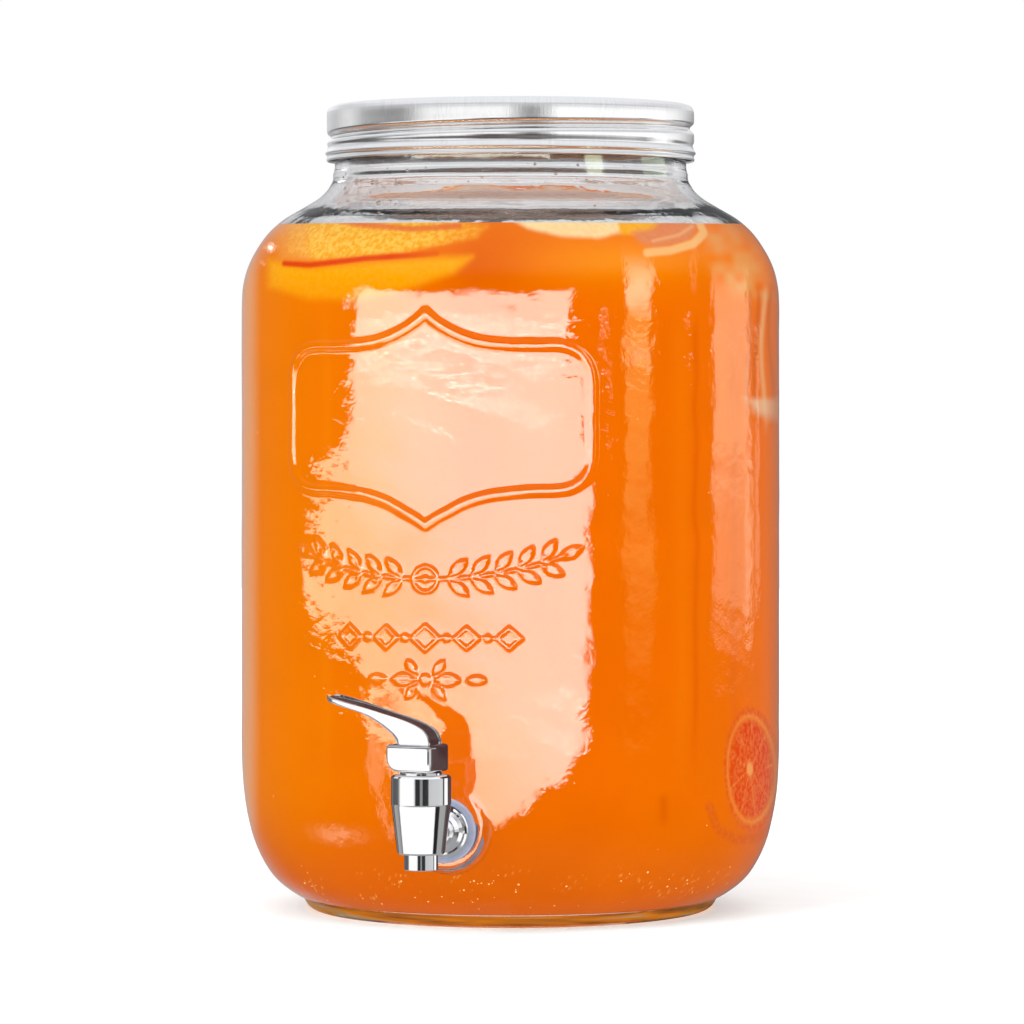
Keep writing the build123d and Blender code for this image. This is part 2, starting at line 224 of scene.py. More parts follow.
# ------------------------------------------------------------------ shader tools
class Shader:
    """Short names for building the node tree of a material or world."""

    def __init__(self, block, output="ShaderNodeOutputMaterial"):
        block.use_nodes = True
        self.block = block
        self.tree = block.node_tree
        self.tree.nodes.clear()
        self.out = self.add(output).inputs[0]

    def add(self, kind, **props):
        node = self.tree.nodes.new(kind)
        for key, value in props.items():
            setattr(node, key, value)
        return node

    def link(self, source, target):
        self.tree.links.new(source, target)

    def feed(self, socket, value):
        """Link a socket to another, or store a number or colour in it."""
        if isinstance(value, (int, float)):
            socket.default_value = value
        elif isinstance(value, (tuple, list)):
            socket.default_value = tuple(value) + ((1.0,) if len(value) == 3 else ())
        else:
            self.link(value, socket)

    def bsdf(self, values):
        node = self.add("ShaderNodeBsdfPrincipled")
        for key, value in values.items():
            node.inputs[key].default_value = value
        return node

    def principled(self, values):
        node = self.bsdf(values)
        self.link(node.outputs[0], self.out)
        return node

    def emission(self, colour):
        node = self.add("ShaderNodeEmission")
        self.link(colour, node.inputs[0])
        return node

    def coords(self):
        return self.add("ShaderNodeTexCoord").outputs["Object"]

    def split(self, vector):
        node = self.add("ShaderNodeSeparateXYZ")
        self.link(vector, node.inputs[0])
        return node.outputs

    def noise(self, scale, detail=4, roughness=0.5, at=None, distortion=0.0, stretch=None):
        node = self.add("ShaderNodeTexNoise")
        node.inputs["Scale"].default_value = scale
        node.inputs["Detail"].default_value = detail
        node.inputs["Roughness"].default_value = roughness
        node.inputs["Distortion"].default_value = distortion
        vector = at if at is not None else self.coords()
        if stretch is not None:
            mapping = self.add("ShaderNodeMapping")
            mapping.inputs["Scale"].default_value = stretch
            self.link(vector, mapping.inputs["Vector"])
            vector = mapping.outputs[0]
        self.link(vector, node.inputs["Vector"])
        return node.outputs["Fac"]

    def ramp(self, factor, stops):
        """stops: (position, grey or colour)."""
        node = self.add("ShaderNodeValToRGB")
        elements = node.color_ramp.elements
        while len(elements) < len(stops):
            elements.new(0.5)
        for i, (position, colour) in enumerate(stops):
            elements[i].position = position
            if not isinstance(colour, tuple):
                colour = (colour, colour, colour)
            elements[i].color = colour + (1.0,)
        self.link(factor, node.inputs[0])
        return node.outputs[0]

    def calc(self, operation, a, b=None, clamp=False):
        node = self.add("ShaderNodeMath", operation=operation, use_clamp=clamp)
        self.feed(node.inputs[0], a)
        if b is not None:
            self.feed(node.inputs[1], b)
        return node.outputs[0]

    def times(self, a, b):
        return self.calc("MULTIPLY", a, b)

    def plus(self, a, b):
        return self.calc("ADD", a, b)

    def minus(self, a, b, clamp=False):
        return self.calc("SUBTRACT", a, b, clamp)

    def mix(self, factor, a, b, blend="MIX"):
        node = self.add("ShaderNodeMix", data_type="RGBA", blend_type=blend)
        for index, value in ((0, factor), (6, a), (7, b)):
            self.feed(node.inputs[index], value)
        return node.outputs[2]

    def mix_shader(self, factor, a, b):
        node = self.add("ShaderNodeMixShader")
        for socket, value in zip(node.inputs, (factor, a, b)):
            self.link(value, socket)
        return node.outputs[0]

    def step(self, value, start, end):
        """Smooth step from 0 at start to 1 at end."""
        node = self.add("ShaderNodeMapRange", interpolation_type="SMOOTHSTEP")
        node.inputs["From Min"].default_value = start
        node.inputs["From Max"].default_value = end
        self.link(value, node.inputs["Value"])
        return node.outputs[0]

    def bump(self, height, strength, distance):
        """distance in metres."""
        node = self.add("ShaderNodeBump")
        node.inputs["Strength"].default_value = strength
        node.inputs["Distance"].default_value = distance
        self.link(height, node.inputs["Height"])
        return node.outputs[0]

    def azimuth(self, xyz):
        return self.calc("ARCTAN2", xyz[0], self.times(xyz[1], -1.0))

    def camera_turn(self, xyz):
        """0..1 across -180..180 degrees from the camera's side."""
        angle = self.minus(self.azimuth(xyz), math.radians(CAMERA_AZ))
        return self.calc("FRACT", self.plus(self.calc("DIVIDE", angle, TURN), 0.5))

    def add_light_only(self, emission):
        """Output the emission on top of whatever lies behind it."""
        clear = self.add("ShaderNodeBsdfTransparent")
        total = self.add("ShaderNodeAddShader")
        self.link(emission.outputs[0], total.inputs[0])
        self.link(clear.outputs[0], total.inputs[1])
        self.link(total.outputs[0], self.out)
        self.block.cycles.emission_sampling = "NONE"


def new_material(name):
    return Shader(bpy.data.materials.new(name))


# ------------------------------------------------------------------ materials
def glass_material():
    m = new_material("jar_glass_clear")
    glass = m.bsdf({"Base Color": (0.875, 0.885, 0.888, 1), "Roughness": 0.012,
                    "IOR": GLASS_IOR, "Transmission Weight": 1.0})
    coords = m.coords()
    broad = m.noise(scale=38, detail=3, roughness=0.55, at=coords, stretch=(1, 1, 0.6))
    fine = m.noise(scale=170, detail=3, roughness=0.6, at=coords)
    z = m.split(coords)[2]
    # the surface is calmer above the body
    calm = m.ramp(m.times(z, 3.0), [(0.795, 1.0), (0.835, 0.30)])
    height = m.times(m.plus(m.times(broad, 1.0), m.times(fine, 0.22)), calm)
    m.link(m.bump(height, strength=0.30, distance=0.0016), glass.inputs["Normal"])
    tint = [(0.80, (0.885, 0.893, 0.895)), (0.86, (0.80, 0.81, 0.825)), (0.93, (0.84, 0.85, 0.86))]
    m.link(m.ramp(m.times(z, 3.0), tint), glass.inputs["Base Color"])
    specks = m.noise(scale=300, detail=2, roughness=0.5, at=coords)
    m.link(m.ramp(specks, [(0.0, 0.006), (1.0, 0.03)]), glass.inputs["Roughness"])
    # shadow rays pass straight through
    clear = m.add("ShaderNodeBsdfTransparent")
    clear.inputs[0].default_value = (0.93, 0.95, 0.945, 1)
    path = m.add("ShaderNodeLightPath")
    shadowed = m.mix_shader(path.outputs["Is Shadow Ray"], glass.outputs[0], clear.outputs[0])
    # painted reflection: glossy rays from the plated tap in front see the lower wall as a dim
    # glowing surface, dark with brown patches, in place of the glass
    xyz = m.split(coords)
    gloom = m.noise(scale=55, detail=3, roughness=0.5, at=coords)
    dim = m.emission(m.ramp(gloom, [(0.35, (0.030, 0.032, 0.040)), (0.62, (0.075, 0.075, 0.085)),
                                    (0.75, (0.20, 0.075, 0.03))]))
    geometry = m.add("ShaderNodeNewGeometry")
    low = m.calc("LESS_THAN", xyz[2], 0.13)
    seen = m.times(m.times(path.outputs["Is Glossy Ray"], low),
                   m.minus(1.0, geometry.outputs["Backfacing"]))
    dimmed = m.mix_shader(m.times(seen, 0.94), shadowed, dim.outputs[0])
    # painted light: to camera rays the outside of the thick moulded foot glows in brown, orange
    # and grey streaks where the glass turns under
    unrolled = m.add("ShaderNodeCombineXYZ")
    m.link(m.times(m.azimuth(xyz), 0.055), unrolled.inputs[0])
    m.link(m.times(xyz[2], 9.0), unrolled.inputs[1])
    streak = m.noise(scale=24, detail=3, roughness=0.6, at=unrolled.outputs[0], distortion=0.4)
    painted_foot_glow = m.emission(m.ramp(streak, [
        (0.34, (0.10, 0.035, 0.008)), (0.45, (0.33, 0.12, 0.022)), (0.54, (0.60, 0.19, 0.01)),
        (0.62, (0.36, 0.25, 0.13)), (0.72, (0.62, 0.52, 0.38))]))
    zone = m.ramp(m.times(xyz[2], 50.0), [(0.03, 0.0), (0.075, 0.82), (0.22, 0.82), (0.30, 0.0)])
    outside = m.minus(1.0, geometry.outputs["Backfacing"])
    seen = m.times(m.times(zone, outside), path.outputs["Is Camera Ray"])
    m.link(m.mix_shader(seen, dimmed, painted_foot_glow.outputs[0]), m.out)
    return m


def liquid_material():
    """Juice with pulp: the broad colour is stored on the mesh, cloud and grain are procedural."""
    m = new_material("orange_liquid")
    p = m.principled({"Roughness": 0.7, "Specular IOR Level": 0.0, "IOR": 1.33})
    coords = m.coords()
    stored = m.add("ShaderNodeAttribute", attribute_name="juice")
    cloud = m.noise(scale=17, detail=4, roughness=0.6, at=coords, distortion=0.6)
    cloudy = m.times(m.minus(cloud, 0.42, clamp=True), 0.55)
    colour = m.mix(cloudy, stored.outputs["Color"], (0.97, 0.24, 0.0))
    grain = m.noise(scale=520, detail=2, roughness=0.6, at=coords)
    dark_grain = m.mix(1.0, colour, (0.90, 0.62, 0.35), "MULTIPLY")
    light_grain = m.mix(0.35, colour, (1.0, 0.78, 0.30))
    grains = m.mix(m.ramp(grain, [(0.42, 0.0), (0.60, 1.0)]), dark_grain, light_grain)
    colour = m.mix(m.times(stored.outputs["Alpha"], 0.55), colour, grains)
    m.link(m.mix(1.0, colour, (0.26, 0.26, 0.26), "MULTIPLY"), p.inputs["Base Color"])
    # painted light: the juice glows in its stored colour to the eye, and with a neutral glow for
    # bounced light, so that the orange doesn't spill
    path = m.add("ShaderNodeLightPath")
    bounced = m.calc("GREATER_THAN", path.outputs["Diffuse Depth"], 0.5)
    m.link(m.mix(bounced, colour, (0.84, 0.80, 0.77)), p.inputs["Emission Color"])
    p.inputs["Emission Strength"].default_value = 0.86
    return m


def juice_top_material():
    m = new_material("juice_surface")
    # painted light: the surface glows faintly orange
    p = m.principled({"Roughness": 0.03, "IOR": 1.33, "Emission Strength": 0.16})
    coords = m.coords()
    cloud = m.noise(scale=26, detail=4, roughness=0.6, at=coords, distortion=0.5)
    m.link(m.ramp(cloud, [(0.35, (0.56, 0.19, 0.03)), (0.55, (0.66, 0.27, 0.06)),
                          (0.75, (0.72, 0.40, 0.15))]), p.inputs["Base Color"])
    m.link(m.ramp(cloud, [(0.35, (0.80, 0.21, 0.01)), (0.75, (0.92, 0.34, 0.05))]),
           p.inputs["Emission Color"])
    ripple = m.noise(scale=14, detail=3, roughness=0.5, at=coords)
    m.link(m.bump(ripple, strength=0.10, distance=0.004), p.inputs["Normal"])
    return m


def water_material():
    m = new_material("water_beads")
    p = m.principled({"Roughness": 0.02, "IOR": 1.33, "Transmission Weight": 1.0})
    mottle = m.noise(scale=400, detail=2, roughness=0.5)
    m.link(m.ramp(mottle, [(0.3, (0.90, 0.93, 0.95)), (0.7, (0.99, 0.99, 0.99))]),
           p.inputs["Base Color"])
    return m


def fizz_material():
    m = new_material("fizz_bubbles")
    # painted light: the bubbles glow orange
    p = m.principled({"Roughness": 0.35, "IOR": 1.33, "Emission Strength": 0.45})
    mottle = m.noise(scale=300, detail=2, roughness=0.5)
    colour = m.ramp(mottle, [(0.3, (0.98, 0.46, 0.10)), (0.7, (1.0, 0.70, 0.32))])
    m.link(colour, p.inputs["Base Color"])
    m.link(colour, p.inputs["Emission Color"])
    return m


def tin_material():
    m = new_material("lid_tinplate")
    p = m.principled({"Metallic": 1.0, "Roughness": 0.2})
    coords = m.coords()
    xyz = m.split(coords)
    # streaks run up the side, so the noise is laid out by angle and height
    angle = m.calc("ARCTAN2", xyz[1], xyz[0])
    unrolled = m.add("ShaderNodeCombineXYZ")
    m.link(m.times(angle, 9.0), unrolled.inputs[0])
    m.link(m.times(xyz[2], 10.0), unrolled.inputs[1])
    at = unrolled.outputs[0]
    broad = m.noise(scale=0.9, detail=2, roughness=0.5, at=at)
    streak = m.noise(scale=14.0, detail=4, roughness=0.6, at=at)
    fine_streak = m.noise(scale=48.0, detail=3, roughness=0.6, at=at)
    spots = m.noise(scale=420, detail=3, roughness=0.6, at=coords)
    where = m.ramp(broad, [(0.40, 0.25), (0.62, 1.0)])
    tone = m.ramp(streak, [(0.28, (0.74, 0.74, 0.735)), (0.5, (0.82, 0.82, 0.815)),
                           (0.75, (0.88, 0.88, 0.88))])
    m.link(m.mix(where, (0.84, 0.84, 0.836), tone), p.inputs["Base Color"])
    roughness = m.plus(m.times(fine_streak, 0.10), m.times(spots, 0.06))
    m.link(m.plus(roughness, 0.10), p.inputs["Roughness"])
    height = m.times(m.plus(m.times(fine_streak, 0.4), m.times(streak, 0.9)), where)
    m.link(m.bump(height, strength=0.09, distance=0.0006), p.inputs["Normal"])
    return m


def chrome_material(name, tint, roughness):
    m = new_material(name)
    p = m.principled({"Metallic": 1.0, "Roughness": roughness})
    coords = m.coords()
    smear = m.noise(scale=60, detail=4, roughness=0.6, at=coords, distortion=0.8)
    fine = m.noise(scale=900, detail=2, roughness=0.5, at=coords)
    dulled = tuple(0.96 * t for t in tint)
    m.link(m.ramp(smear, [(0.3, dulled), (0.7, tint)]), p.inputs["Base Color"])
    m.link(m.plus(m.times(smear, 0.05), roughness - 0.02), p.inputs["Roughness"])
    height = m.plus(m.times(smear, 1.0), m.times(fine, 0.03))
    m.link(m.bump(height, strength=0.05, distance=0.0006), p.inputs["Normal"])
    return m


def plastic_material(name, dark, light, roughness=0.42):
    scale = 180
    m = new_material(name)
    p = m.principled({"Roughness": roughness, "IOR": 1.46})
    coords = m.coords()
    mottle = m.noise(scale=scale, detail=4, roughness=0.6, at=coords)
    m.link(m.ramp(mottle, [(0.3, dark), (0.7, light)]), p.inputs["Base Color"])
    m.link(m.plus(m.times(mottle, 0.16), roughness - 0.08), p.inputs["Roughness"])
    grain = m.noise(scale=scale * 5, detail=2, roughness=0.5, at=coords)
    m.link(m.bump(grain, strength=0.10, distance=0.0004), p.inputs["Normal"])
    return m


def silicone_material():
    m = new_material("silicone_blue_grey")
    p = m.principled({"Roughness": 0.30, "IOR": 1.41, "Subsurface Weight": 0.35,
                      "Subsurface Scale": 0.003})
    coords = m.coords()
    mottle = m.noise(scale=150, detail=3, roughness=0.5, at=coords)
    m.link(m.ramp(mottle, [(0.3, (0.30, 0.33, 0.44)), (0.7, (0.42, 0.46, 0.58))]),
           p.inputs["Base Color"])
    grain = m.noise(scale=700, detail=2, roughness=0.5, at=coords)
    m.link(m.bump(grain, strength=0.10, distance=0.0003), p.inputs["Normal"])
    return m


GLASS = glass_material()
LIQUID = liquid_material()
JUICE_TOP = juice_top_material()
WATER = water_material()
FIZZ = fizz_material()
TIN = tin_material()
CHROME = chrome_material("tap_chrome_plate", tint=(0.86, 0.865, 0.875), roughness=0.045)
LEVER_CHROME = chrome_material("lever_chrome_plate", tint=(0.88, 0.88, 0.885), roughness=0.05)
COLLAR = chrome_material("collar_chrome_plate", tint=(0.80, 0.80, 0.82), roughness=0.07)
STEEL = chrome_material("stainless_wire", tint=(0.60, 0.60, 0.62), roughness=0.22)
WHITE = plastic_material("nylon_white", dark=(0.78, 0.78, 0.76), light=(0.86, 0.86, 0.85))
SILICONE = silicone_material()
BLACK = plastic_material("rubber_black", dark=(0.02, 0.02, 0.02), light=(0.045, 0.045, 0.045),
                         roughness=0.55)
LINER = plastic_material("sealing_compound", dark=(0.70, 0.68, 0.62), light=(0.80, 0.79, 0.73),
                         roughness=0.5)

CAD_MATERIALS = {
    "lid_gasket": LINER, "outer_gasket": SILICONE, "inner_gasket": SILICONE,
    "backing_washer": WHITE, "lock_nut": WHITE, "tap_body": CHROME, "spout_nozzle": CHROME,
    "bonnet": WHITE, "stem_seal_ring": BLACK, "swivel_collar": COLLAR, "valve_stem": WHITE,
    "valve_plug": SILICONE, "return_spring": STEEL, "lever_pin": STEEL, "lever": LEVER_CHROME,
    "glass_jar": GLASS, "lid_shell": TIN}
for node_name, shader in CAD_MATERIALS.items():
    give(frame["nodes"][node_name], shader)

# ------------------------------------------------------------------ jar outlines
# (r, z), from the foot up the outside, over the rim and down the inside
OUTSIDE = [
    (67.0, 0.0), (73.0, -0.0), (79.2, 0.0), (81.9, 1.0), (83.3, 2.4), (84.2, 3.8), (85.0, 5.1),
    (87.0, 6.1), (90.4, 8.2), (94.7, 11.5), (97.8, 14.8), (100.0, 18.0), (102.8, 23.2),
    (105.3, 29.6), (107.1, 36.6), (108.5, 44.0), (109.5, 53.5), (110.0, 66), (110.0, 80),
    (110.0, 120), (110.0, 160), (110.0, 200), (110.0, 232),
    (110.0, 245), (109.5, 254.0), (107.7, 261.6), (104.1, 269.0), (98.9, 276.3), (92.6, 281.8),
    (84.8, 286.4), (77.6, 291.0), (73.4, 296.0), (72.1, 302.0), (72.0, 308.0), (72.0, 316),
    (72.0, 322.6), (71.5, 324.3), (70.3, 325.0), (69.5, 325.1), (68.6, 324.9), (67.4, 324.2)]
INSIDE = [
    (67.0, 322.6), (67.0, 312.0), (67.0, 302.0), (69.0, 292.6), (73.8, 286.6), (81.0, 281.8),
    (88.6, 277.8), (94.4, 273.2), (99.4, 267.4), (103.0, 261.0), (104.9, 254.6), (105.5, 246),
    (105.5, 220), (105.5, 170), (105.5, 120), (105.5, 76), (104.9, 51.0), (103.3, 39.4),
    (100.6, 28.2), (96.3, 18.6), (90.0, 11.0), (82.0, 6.9), (70.0, 5.6), (40.0, 5.95)]
UNDERSIDE_RINGS = [(64.0, 0.45), (60.0, 1.3), (52.0, 1.9), (30.0, 2.2), (12.0, 2.35)]
UNDERSIDE_CENTRE_Z = 2.4
FLOOR_RINGS = [(24.0, 6.15), (10.0, 6.25)]
FLOOR_CENTRE_Z = 6.3
# (above this z, point spacing); the raised decoration and the neck are finest
OUTSIDE_SPACING = [(302, 0.42), (247, 1.1), (157, 0.72), (88, 0.55), (60, 2.2), (20, 0.95)]


def outside_spacing(point):
    return next((gap for above, gap in OUTSIDE_SPACING if point[1] > above), 0.8)


def inside_spacing(point):
    return 1.1 if 22 < point[1] < 60 else 3.0


outside = spline(OUTSIDE + INSIDE[:1], outside_spacing)[:-1]
inside = spline(INSIDE, inside_spacing)
OUTSIDE_TOP = np.argmax(outside[:, 1])


def outer_radius(z):
    return np.interp(z, outside[:OUTSIDE_TOP, 1], outside[:OUTSIDE_TOP, 0])


def inner_radius(z):
    wall = inside[::-1]
    wall = wall[wall[:, 1] > 6.1]
    return np.interp(z, wall[:, 1], wall[:, 0])


# ------------------------------------------------------------------ raised decoration
# Heights are worked out over (s, z); s is the distance round the body from the label's middle.
# Right half of the label frame's centre line, from its top to its bottom point: (s, z)
HALF_FRAME = [
    (0, 241.8), (3.4, 239.0), (7, 236.6), (13.3, 233.4), (20.6, 231.0), (29.5, 229.8),
    (43, 229.4), (52, 229.4), (57.4, 228.3), (62, 225.3), (65.0, 220.6), (66, 215.4), (66, 201),
    (66, 187), (65.0, 181.6), (62, 177), (57.4, 174), (52, 173), (43, 172.8), (34, 172.0),
    (25, 170.8), (16, 168.1), (8.8, 164.4), (4.2, 162.0), (0, 159.2)]
GARLAND_Z = 141.2
GARLAND_RISE = 9.6          # at GARLAND_REACH from the middle
GARLAND_REACH = 56.0
LOZENGE_Z = 115.6
SPRIG_Z = 99.4
# leaves on the sprig's right half: s, z, angle in degrees, length, width
SPRIG_LEAVES = [(9.0, SPRIG_Z, 0, 11.5, 5.4), (20.4, SPRIG_Z, 0, 9.0, 4.2),
                (5.6, 104.2, 50, 8.0, 4.2), (5.6, 94.6, -50, 8.0, 4.2)]


def frame_line():
    right = spline(HALF_FRAME, lambda point: 1.0)
    right[0, 0] = right[-1, 0] = 0
    left = right[::-1] * (-1, 1)
    return np.vstack([right, left[1:]])


def pad(distance, top, soft):
    return top * (1 - sstep(-soft, soft * 0.5, distance))


def leaf(s, z, side, centre, centre_z, angle, length, width):
    """Pointed leaf with a raised rim, dished middle and midrib; side -1 mirrors it to the left."""
    a = math.radians(angle if side > 0 else 180 - angle)
    ds, dz = s - side * centre, z - centre_z
    along = ds * math.cos(a) + dz * math.sin(a)
    across = np.abs(-ds * math.sin(a) + dz * math.cos(a))
    h, w = length / 2, width / 2
    arc_r = (h * h + w * w) / (2 * w)
    d = np.hypot(along, across + (arc_r - w)) - arc_r
    body = 0.85 * (1 - sstep(-0.75, 0.25, d)) - 0.42 * (1 - sstep(-2.3, -1.0, d))
    return body + 0.40 * np.exp(-(across / 0.50) ** 2) * (1 - sstep(-1.6, -0.2, d))


def disc(s, z, centre, centre_z, radius, ring=False):
    distance = np.hypot(s - centre, z - centre_z) - radius
    if ring:
        distance = np.abs(distance) - 0.85
    return pad(distance, top=0.8, soft=0.6)


def lozenge(s, z, centre, w, h):
    d = (np.abs(s - centre) / w + np.abs(z - LOZENGE_Z) / h - 1) * (w * h) / math.hypot(w, h)
    return 0.85 * (1 - sstep(-0.8, 0.25, d)) - 0.5 * (1 - sstep(-2.2, -1.2, d))


def garland(s, z):
    """An arc that sags in the middle, leaves in pairs along it."""
    def arc(t):
        return GARLAND_Z + GARLAND_RISE * (t / GARLAND_REACH) ** 2

    for side in (-1, 1):
        for along in (10.5, 19.5, 28.5, 37.5, 46.5):
            root_z = arc(along) - 2.8
            slope = math.degrees(math.atan(2 * GARLAND_RISE * along / GARLAND_REACH ** 2))
            for up in (1, -1):
                angle = slope + up * 40
                a = math.radians(angle)
                centre_z = root_z + up * 0.9 + 4.6 * math.sin(a)
                yield leaf(s, z, side, along + 3.6 * math.cos(a), centre_z, angle, 11.0, 4.6)
        yield leaf(s, z, side, 57.2, arc(55) - 2.0 + 0.4, 22, 10.5, 4.8)
    stem = np.linspace(-54, 54, 55)
    distance = line_distance(s, z, np.stack([stem, arc(stem) - 2.8], 1))
    yield pad(distance - 0.75, top=0.62, soft=0.5)
    yield disc(s, z, 0, 138.4, 4.9, ring=True)
    yield disc(s, z, 0, 138.4, 1.6)


def lozenge_row(s, z):
    for centre in (-33, -16.5, 0, 16.5, 33):
        yield lozenge(s, z, centre, 6.2 if centre else 7.0, 5.4 if centre else 6.2)
    for centre in (-24.8, -8.5, 8.5, 24.8):
        yield disc(s, z, centre, LOZENGE_Z, 1.7)


def sprig(s, z):
    yield disc(s, z, 0, SPRIG_Z, 2.3)
    for side in (-1, 1):
        for placed in SPRIG_LEAVES:
            yield leaf(s, z, side, *placed)


def ornament(s, z):
    """Height of the garland, lozenge row and sprig below the label frame."""
    height = np.zeros(s.shape)
    for motif in (garland, lozenge_row, sprig):
        for relief in motif(s, z):
            np.maximum(height, relief, out=height)
    return height


# ------------------------------------------------------------------ jar
# low moulding waves: cycles round the jar, change with height, amplitude, phase
WAVES = [(3, 0.014, 0.05, 0.4), (7, 0.031, 0.045, 1.9), (11, 0.060, 0.035, 4.0),
         (17, 0.045, 0.022, 2.7), (23, 0.11, 0.012, 5.1), (31, 0.17, 0.008, 0.9)]
NECK_THREAD_Z = 313.2
THREAD_TURNS = 1.25
HOLE_R = 8.25
HOLE_SEGMENTS = 72
HOLE_FACES = (-109.6, -103.6)     # y of the flat round the hole, outside and inside


def waviness(azimuth, z):
    height = np.zeros(azimuth.shape)
    for cycles, rise, amplitude, phase in WAVES:
        height += (amplitude * np.sin(cycles * azimuth + rise * z * 2.2 + phase)
                   * np.cos(rise * z * 3.1 + 1.7 * phase))
    return height


def thread_turns(azimuth):
    """Turns of a right-handed thread, counted from +X, for its first and second pass."""
    angle = (azimuth - math.pi / 2) % TURN
    return [angle / TURN + turn for turn in (0, 1)]


def wall_relief(azimuth, z):
    """How far the outside stands proud of its outline."""
    turned = (np.degrees(azimuth) - LABEL_AZ + 180) % 360 - 180
    s = BODY_R * np.radians(turned)
    height = np.zeros(z.shape)
    zone = (np.abs(s) < 78) & (z > 150) & (z < 252)
    height[zone] += 0.80 * (1 - sstep(0.75, 2.75, line_distance(s[zone], z[zone], frame_line())))
    zone = (np.abs(s) < 68) & (z > 86) & (z < 160)
    height[zone] += ornament(s[zone], z[zone])
    height += waviness(azimuth, z) * sstep(20, 50, z) * (1 - sstep(296, 303, z))
    # thread rib on the neck
    for turns in thread_turns(azimuth):
        middle = NECK_THREAD_Z + THREAD_PITCH * turns
        taper = np.clip(np.minimum(turns, THREAD_TURNS - turns) / 0.03, 0, 1)
        rib = 2.1 * taper * np.clip((1.75 - np.abs(z - middle)) / 1.0, 0, 1)
        live = (turns <= THREAD_TURNS) & (z > 303)
        height = np.where(live, np.maximum(height, rib), height)
    # faint rings below the lid
    height += 0.35 * np.exp(-((z - 300.0) / 1.1) ** 2) + 0.2 * np.exp(-((z - 295.2) / 0.9) ** 2)
    return height


def flatten_for_tap(points, y, allowed=True):
    """Ease the front of the wall onto a plane round the tap hole."""
    away = np.hypot(points[..., 0], points[..., 2] - TAP_Z)
    weight = (1 - sstep(14.4, 18.2, away)) * ((points[..., 1] < 0) & allowed)
    points[..., 1] = points[..., 1] * (1 - weight) + y * weight
    return points.reshape(-1, 3)


def finish_tap_hole(ob):
    """Fill the flats up to a true circle and join the two circles."""
    bm = bmesh.new()
    bm.from_mesh(ob.data)
    bmesh.ops.delete(bm, geom=[v for v in bm.verts if not v.link_faces], context="VERTS")
    circles = []
    for y in HOLE_FACES:
        boundary = [e for e in bm.edges
                    if e.is_boundary and all(abs(v.co.y / MM - y) < 0.3 for v in e.verts)]
        circle = [bm.verts.new((HOLE_R * MM * math.cos(t), y * MM,
                                (TAP_Z + HOLE_R * math.sin(t)) * MM))
                  for t in np.linspace(0, TURN, HOLE_SEGMENTS, endpoint=False)]
        edges = [bm.edges.new((circle[i], circle[(i + 1) % HOLE_SEGMENTS]))
                 for i in range(HOLE_SEGMENTS)]
        bmesh.ops.triangle_fill(bm, use_beauty=True, use_dissolve=False, edges=boundary + edges)
        # drop any fill inside the hole
        stray = []
        for face in bm.faces:
            x, face_y, z = face.calc_center_median() / MM
            if (len(face.verts) == 3 and math.hypot(x, z - TAP_Z) < 8.1
                    and abs(face_y - y) < 0.2):
                stray.append(face)
        if stray:
            bmesh.ops.delete(bm, geom=stray, context="FACES_ONLY")
        circles.append(circle)
    front, rear = circles
    for i in range(HOLE_SEGMENTS):
        k = (i + 1) % HOLE_SEGMENTS
        bm.faces.new((front[i], front[k], rear[k], rear[i]))
    bmesh.ops.recalc_face_normals(bm, faces=bm.faces)
    for face in bm.faces:
        face.smooth = True
    bm.to_mesh(ob.data)
    bm.free()


def glass_jar():
    # columns are close together across the decorated front
    dense = np.arange(-46.0, 42.01, 0.33)
    coarse = np.linspace(42.0, 314.0, 132)[1:-1]
    azimuths = np.radians(np.concatenate([dense, coarse]))
    cols = len(azimuths)

    radius, z, azimuth = sheet(outside, azimuths)
    tangent = np.gradient(outside, axis=0)
    tangent /= np.linalg.norm(tangent, axis=1)[:, None]
    is_outside = (np.arange(len(outside)) < OUTSIDE_TOP)[:, None]
    height = wall_relief(azimuth, z) * is_outside
    # the relief grows along the outline's normal
    radius = radius + height * tangent[:, 1][:, None]
    z = z - height * tangent[:, 0][:, None]
    outer = flatten_for_tap(around(radius, azimuth, z), HOLE_FACES[0], is_outside)

    radius, z, azimuth = sheet(inside, azimuths)
    radius = radius + 0.8 * waviness(azimuth + 1.3, z * 0.8 + 30) * sstep(12, 40, z)
    inner = flatten_for_tap(around(radius, azimuth, z), HOLE_FACES[1])

    rings = [around(r, azimuths, ring_z) for r, ring_z in UNDERSIDE_RINGS + FLOOR_RINGS]
    inner_start = len(outer)
    extra_start = inner_start + len(inner)
    starts = [extra_start + i * cols for i in range(len(rings))]
    points = np.vstack([outer, inner] + rings
                       + [[(0, 0, UNDERSIDE_CENTRE_Z)], [(0, 0, FLOOR_CENTRE_Z)]])
    quads = [grid_faces(len(outside), cols), grid_faces(len(inside), cols, base=inner_start),
             bridge(inner_start - cols, inner_start, cols)]
    under = 0
    for start in starts[:len(UNDERSIDE_RINGS)]:
        quads.append(bridge(start, under, cols))
        under = start
    floor = extra_start - cols
    for start in starts[len(UNDERSIDE_RINGS):]:
        quads.append(bridge(floor, start, cols))
        floor = start
    centre = len(points) - 2
    fans = end_fans(under, centre, floor, centre + 1, cols)
    quads = np.vstack(quads)
    # open the tap hole
    middle = points[quads].mean(1)
    away = np.hypot(middle[:, 0], middle[:, 2] - TAP_Z)
    quads = quads[~((away < 10.6) & (middle[:, 1] < -90))]
    ob = mesh_object("jar_glass", points, quads.tolist() + fans[::2] + fans[1::2])
    finish_tap_hole(ob)
    return ob


JAR = glass_jar()
give(JAR, GLASS, "jar")
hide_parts("glass_jar")

# ------------------------------------------------------------------ juice colours
# Patterns on the juice and in the reflections are laid out on an upright plane through the
# jar's axis that faces the camera: x to the camera's right, z up, as the camera sees them.
NOISE_CORNER = (-209.305, 371.85)     # x, z of the corner of the noise cells


